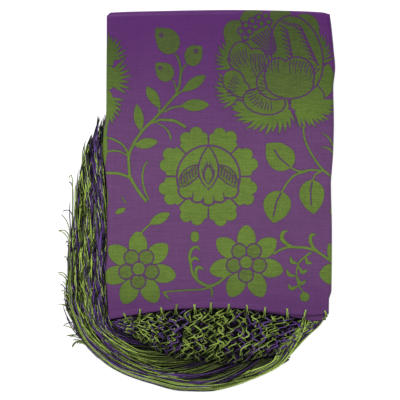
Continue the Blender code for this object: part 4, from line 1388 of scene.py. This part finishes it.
        # Painted highlight and shade round each tube: brightest along its top, near dark at its sides and
        # underneath.
        painted_top_light = 0.06 + 1.0 * np.maximum(np.sin(np.linspace(0.0, 2 * np.pi, sides, endpoint=False)), 0.0)
        for paths, radii, tone_and_painted_shade in parts:
            spots, quads = tubes(paths, radii, sides)
            points.append(spots)
            faces.append(quads + start)
            tones_and_painted_shades.append((tone_and_painted_shade[:, :, None] * painted_top_light).ravel())
            start += len(spots)
        for spots, quads, tone_and_painted_shade in beds:
            points.append(spots)
            faces.append(quads + start)
            tones_and_painted_shades.append(tone_and_painted_shade)
            start += len(spots)
        made = mesh_piece(name, np.vstack(points), np.vstack(faces), finish[cord],
                          {"tone_and_painted_shade": np.concatenate(tones_and_painted_shades)})
        settle(made, nodes)

    def sort(self, group: Cords, share: float,
             green: list[Cords],
             purple: list[Cords], bunch: int = 1) -> None:
        """Shares a group's cords between both colours, bunch by bunch."""
        count = len(group[0])
        pick = np.repeat(self.rng.uniform(0, 1, count // bunch + 1) < share, bunch)[:count]
        green.append(tuple(part[pick] for part in group))
        purple.append(tuple(part[~pick] for part in group))

    def build(self, finish: dict[Cord, bpy.types.Material]) -> None:
        """Loops, net and strands in both colours."""
        loop_nodes = [f"fringe_loop_{number:02d}" for number in range(1, len(LOOPS) + 1)]
        self.piece("hem_loops", Cord.GREEN, [self.loops()], 8, loop_nodes, finish)
        green, purple = [], []
        for layer in range(self.net_layers):
            self.sort(self.net(layer), 0.68, green, purple, 2)
            self.sort(self.knots(layer), 0.6, green, purple)
        self.sort(self.side_cords(), 0.6, green, purple)
        self.piece("net_green", Cord.GREEN, green, 5, ("fringe_net_top", "fringe_net_core"), finish)
        beds = self.dark_shaded_beds()
        self.piece("net_purple", Cord.PURPLE, purple, 5, ("fringe_net_second",), finish, beds[:1])
        green, purple = [], []
        self.sort(self.loose(), 0.60, green, purple, self.bunch)
        self.sort(self.strays(), 0.6, green, purple)
        self.piece("strands_green", Cord.GREEN, green, 4, ("fringe_strands",), finish)
        self.piece("strands_purple", Cord.PURPLE, purple, 4, ("fringe_strands",), finish, beds[1:])


@dataclass
class Studio:
    """Pale floor, soft lights and the camera straight above."""

    height: float = 1.5
    true_at: float = 0.009  # height over the floor at which the picture's scale holds
    span: float = 400 * CHART_SQUARE * MM

    def floor(self) -> None:
        """Large pale floor just under the shawl."""
        mesh = bpy.data.meshes.new("studio_floor")
        reach = 3.0
        corners = [(x * reach, y * reach, -0.0002) for x, y in ((-1, -1), (1, -1), (1, 1), (-1, 1))]
        mesh.from_pydata(corners, [], [(0, 1, 2, 3)])
        desk = NodeDesk("studio_paper")
        desk.shader.inputs["Base Color"].default_value = (0.36, 0.36, 0.36, 1.0)
        desk.shader.inputs["Emission Color"].default_value = (1.0, 1.0, 1.0, 1.0)
        desk.shader.inputs["Emission Strength"].default_value = 0.80
        desk.shader.inputs["Roughness"].default_value = 0.9
        mesh.materials.append(desk.material)
        made = bpy.data.objects.new("studio_floor", mesh)
        bpy.context.collection.objects.link(made)

    def light(self, name: str, place: tuple[float, float, float], size: float, power: float) -> None:
        """Square area light that faces the shawl."""
        lamp = bpy.data.lights.new(name, "AREA")
        lamp.size = size
        lamp.energy = power
        made = bpy.data.objects.new(name, lamp)
        made.location = place
        x, y, z = place
        made.rotation_euler = (math.atan2(math.hypot(x, y), z), 0.0, math.atan2(x, -y))
        bpy.context.collection.objects.link(made)

    def build(self) -> None:
        """Floor, lights, world and camera."""
        self.floor()
        self.light("key_light", (-0.45, 0.8, 0.9), 0.6, 15.0)
        self.light("fill_light", (0.6, -0.5, 1.1), 1.0, 4.5)
        world = bpy.data.worlds.new("studio_world")
        world.use_nodes = True
        world.node_tree.nodes["Background"].inputs["Color"].default_value = (1.0, 1.0, 1.0, 1.0)
        world.node_tree.nodes["Background"].inputs["Strength"].default_value = 0.56
        bpy.context.scene.world = world
        camera = bpy.data.cameras.new("camera")
        camera.sensor_width = 36.0
        camera.lens = 36.0 * (self.height - self.true_at) / self.span
        camera.clip_start = 0.05
        made = bpy.data.objects.new("camera", camera)
        middle = (200.0 - CHART_ZERO[0]) * CHART_SQUARE
        made.location = ((middle - ORIGIN[0]) * MM, -ORIGIN[1] * MM, self.height)
        bpy.context.collection.objects.link(made)
        bpy.context.scene.camera = made
        bpy.context.scene.view_settings.view_transform = "Standard"


def main() -> None:
    """Loads the frame and builds each group of pieces."""
    logging.basicConfig(level=logging.INFO, format="%(message)s")
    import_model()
    Studio().build()
    cloth = Jacquard().build()
    finish = {
        Cord.GREEN: Twist("cord_green", linear(164, 190, 90), linear(6, 8, 4)).build(),
        Cord.PURPLE: Twist("cord_purple", linear(104, 72, 142), linear(6, 4, 9)).build(),
    }
    top = ClothLayer("top_layer", "cloth_top_layer", HEM_EDGE, drop=0.0, margin=0.0, side_roll=3.2,
                     far_roll=4.0, hem_roll=1.35, under=35.0, spacing=0.70, flowered=True)
    piece = top.build(cloth)
    second = ClothLayer("second_layer", "cloth_second_layer", SECOND_HEM, drop=1.75, margin=2.2,
                        side_roll=1.3, far_roll=1.3, hem_roll=1.2, under=0.0, spacing=1.8, flowered=False)
    piece = second.build(cloth)
    piece = HiddenLayers().build(cloth)
    Fringe().build(finish)


if __name__ == "__main__":
    main()
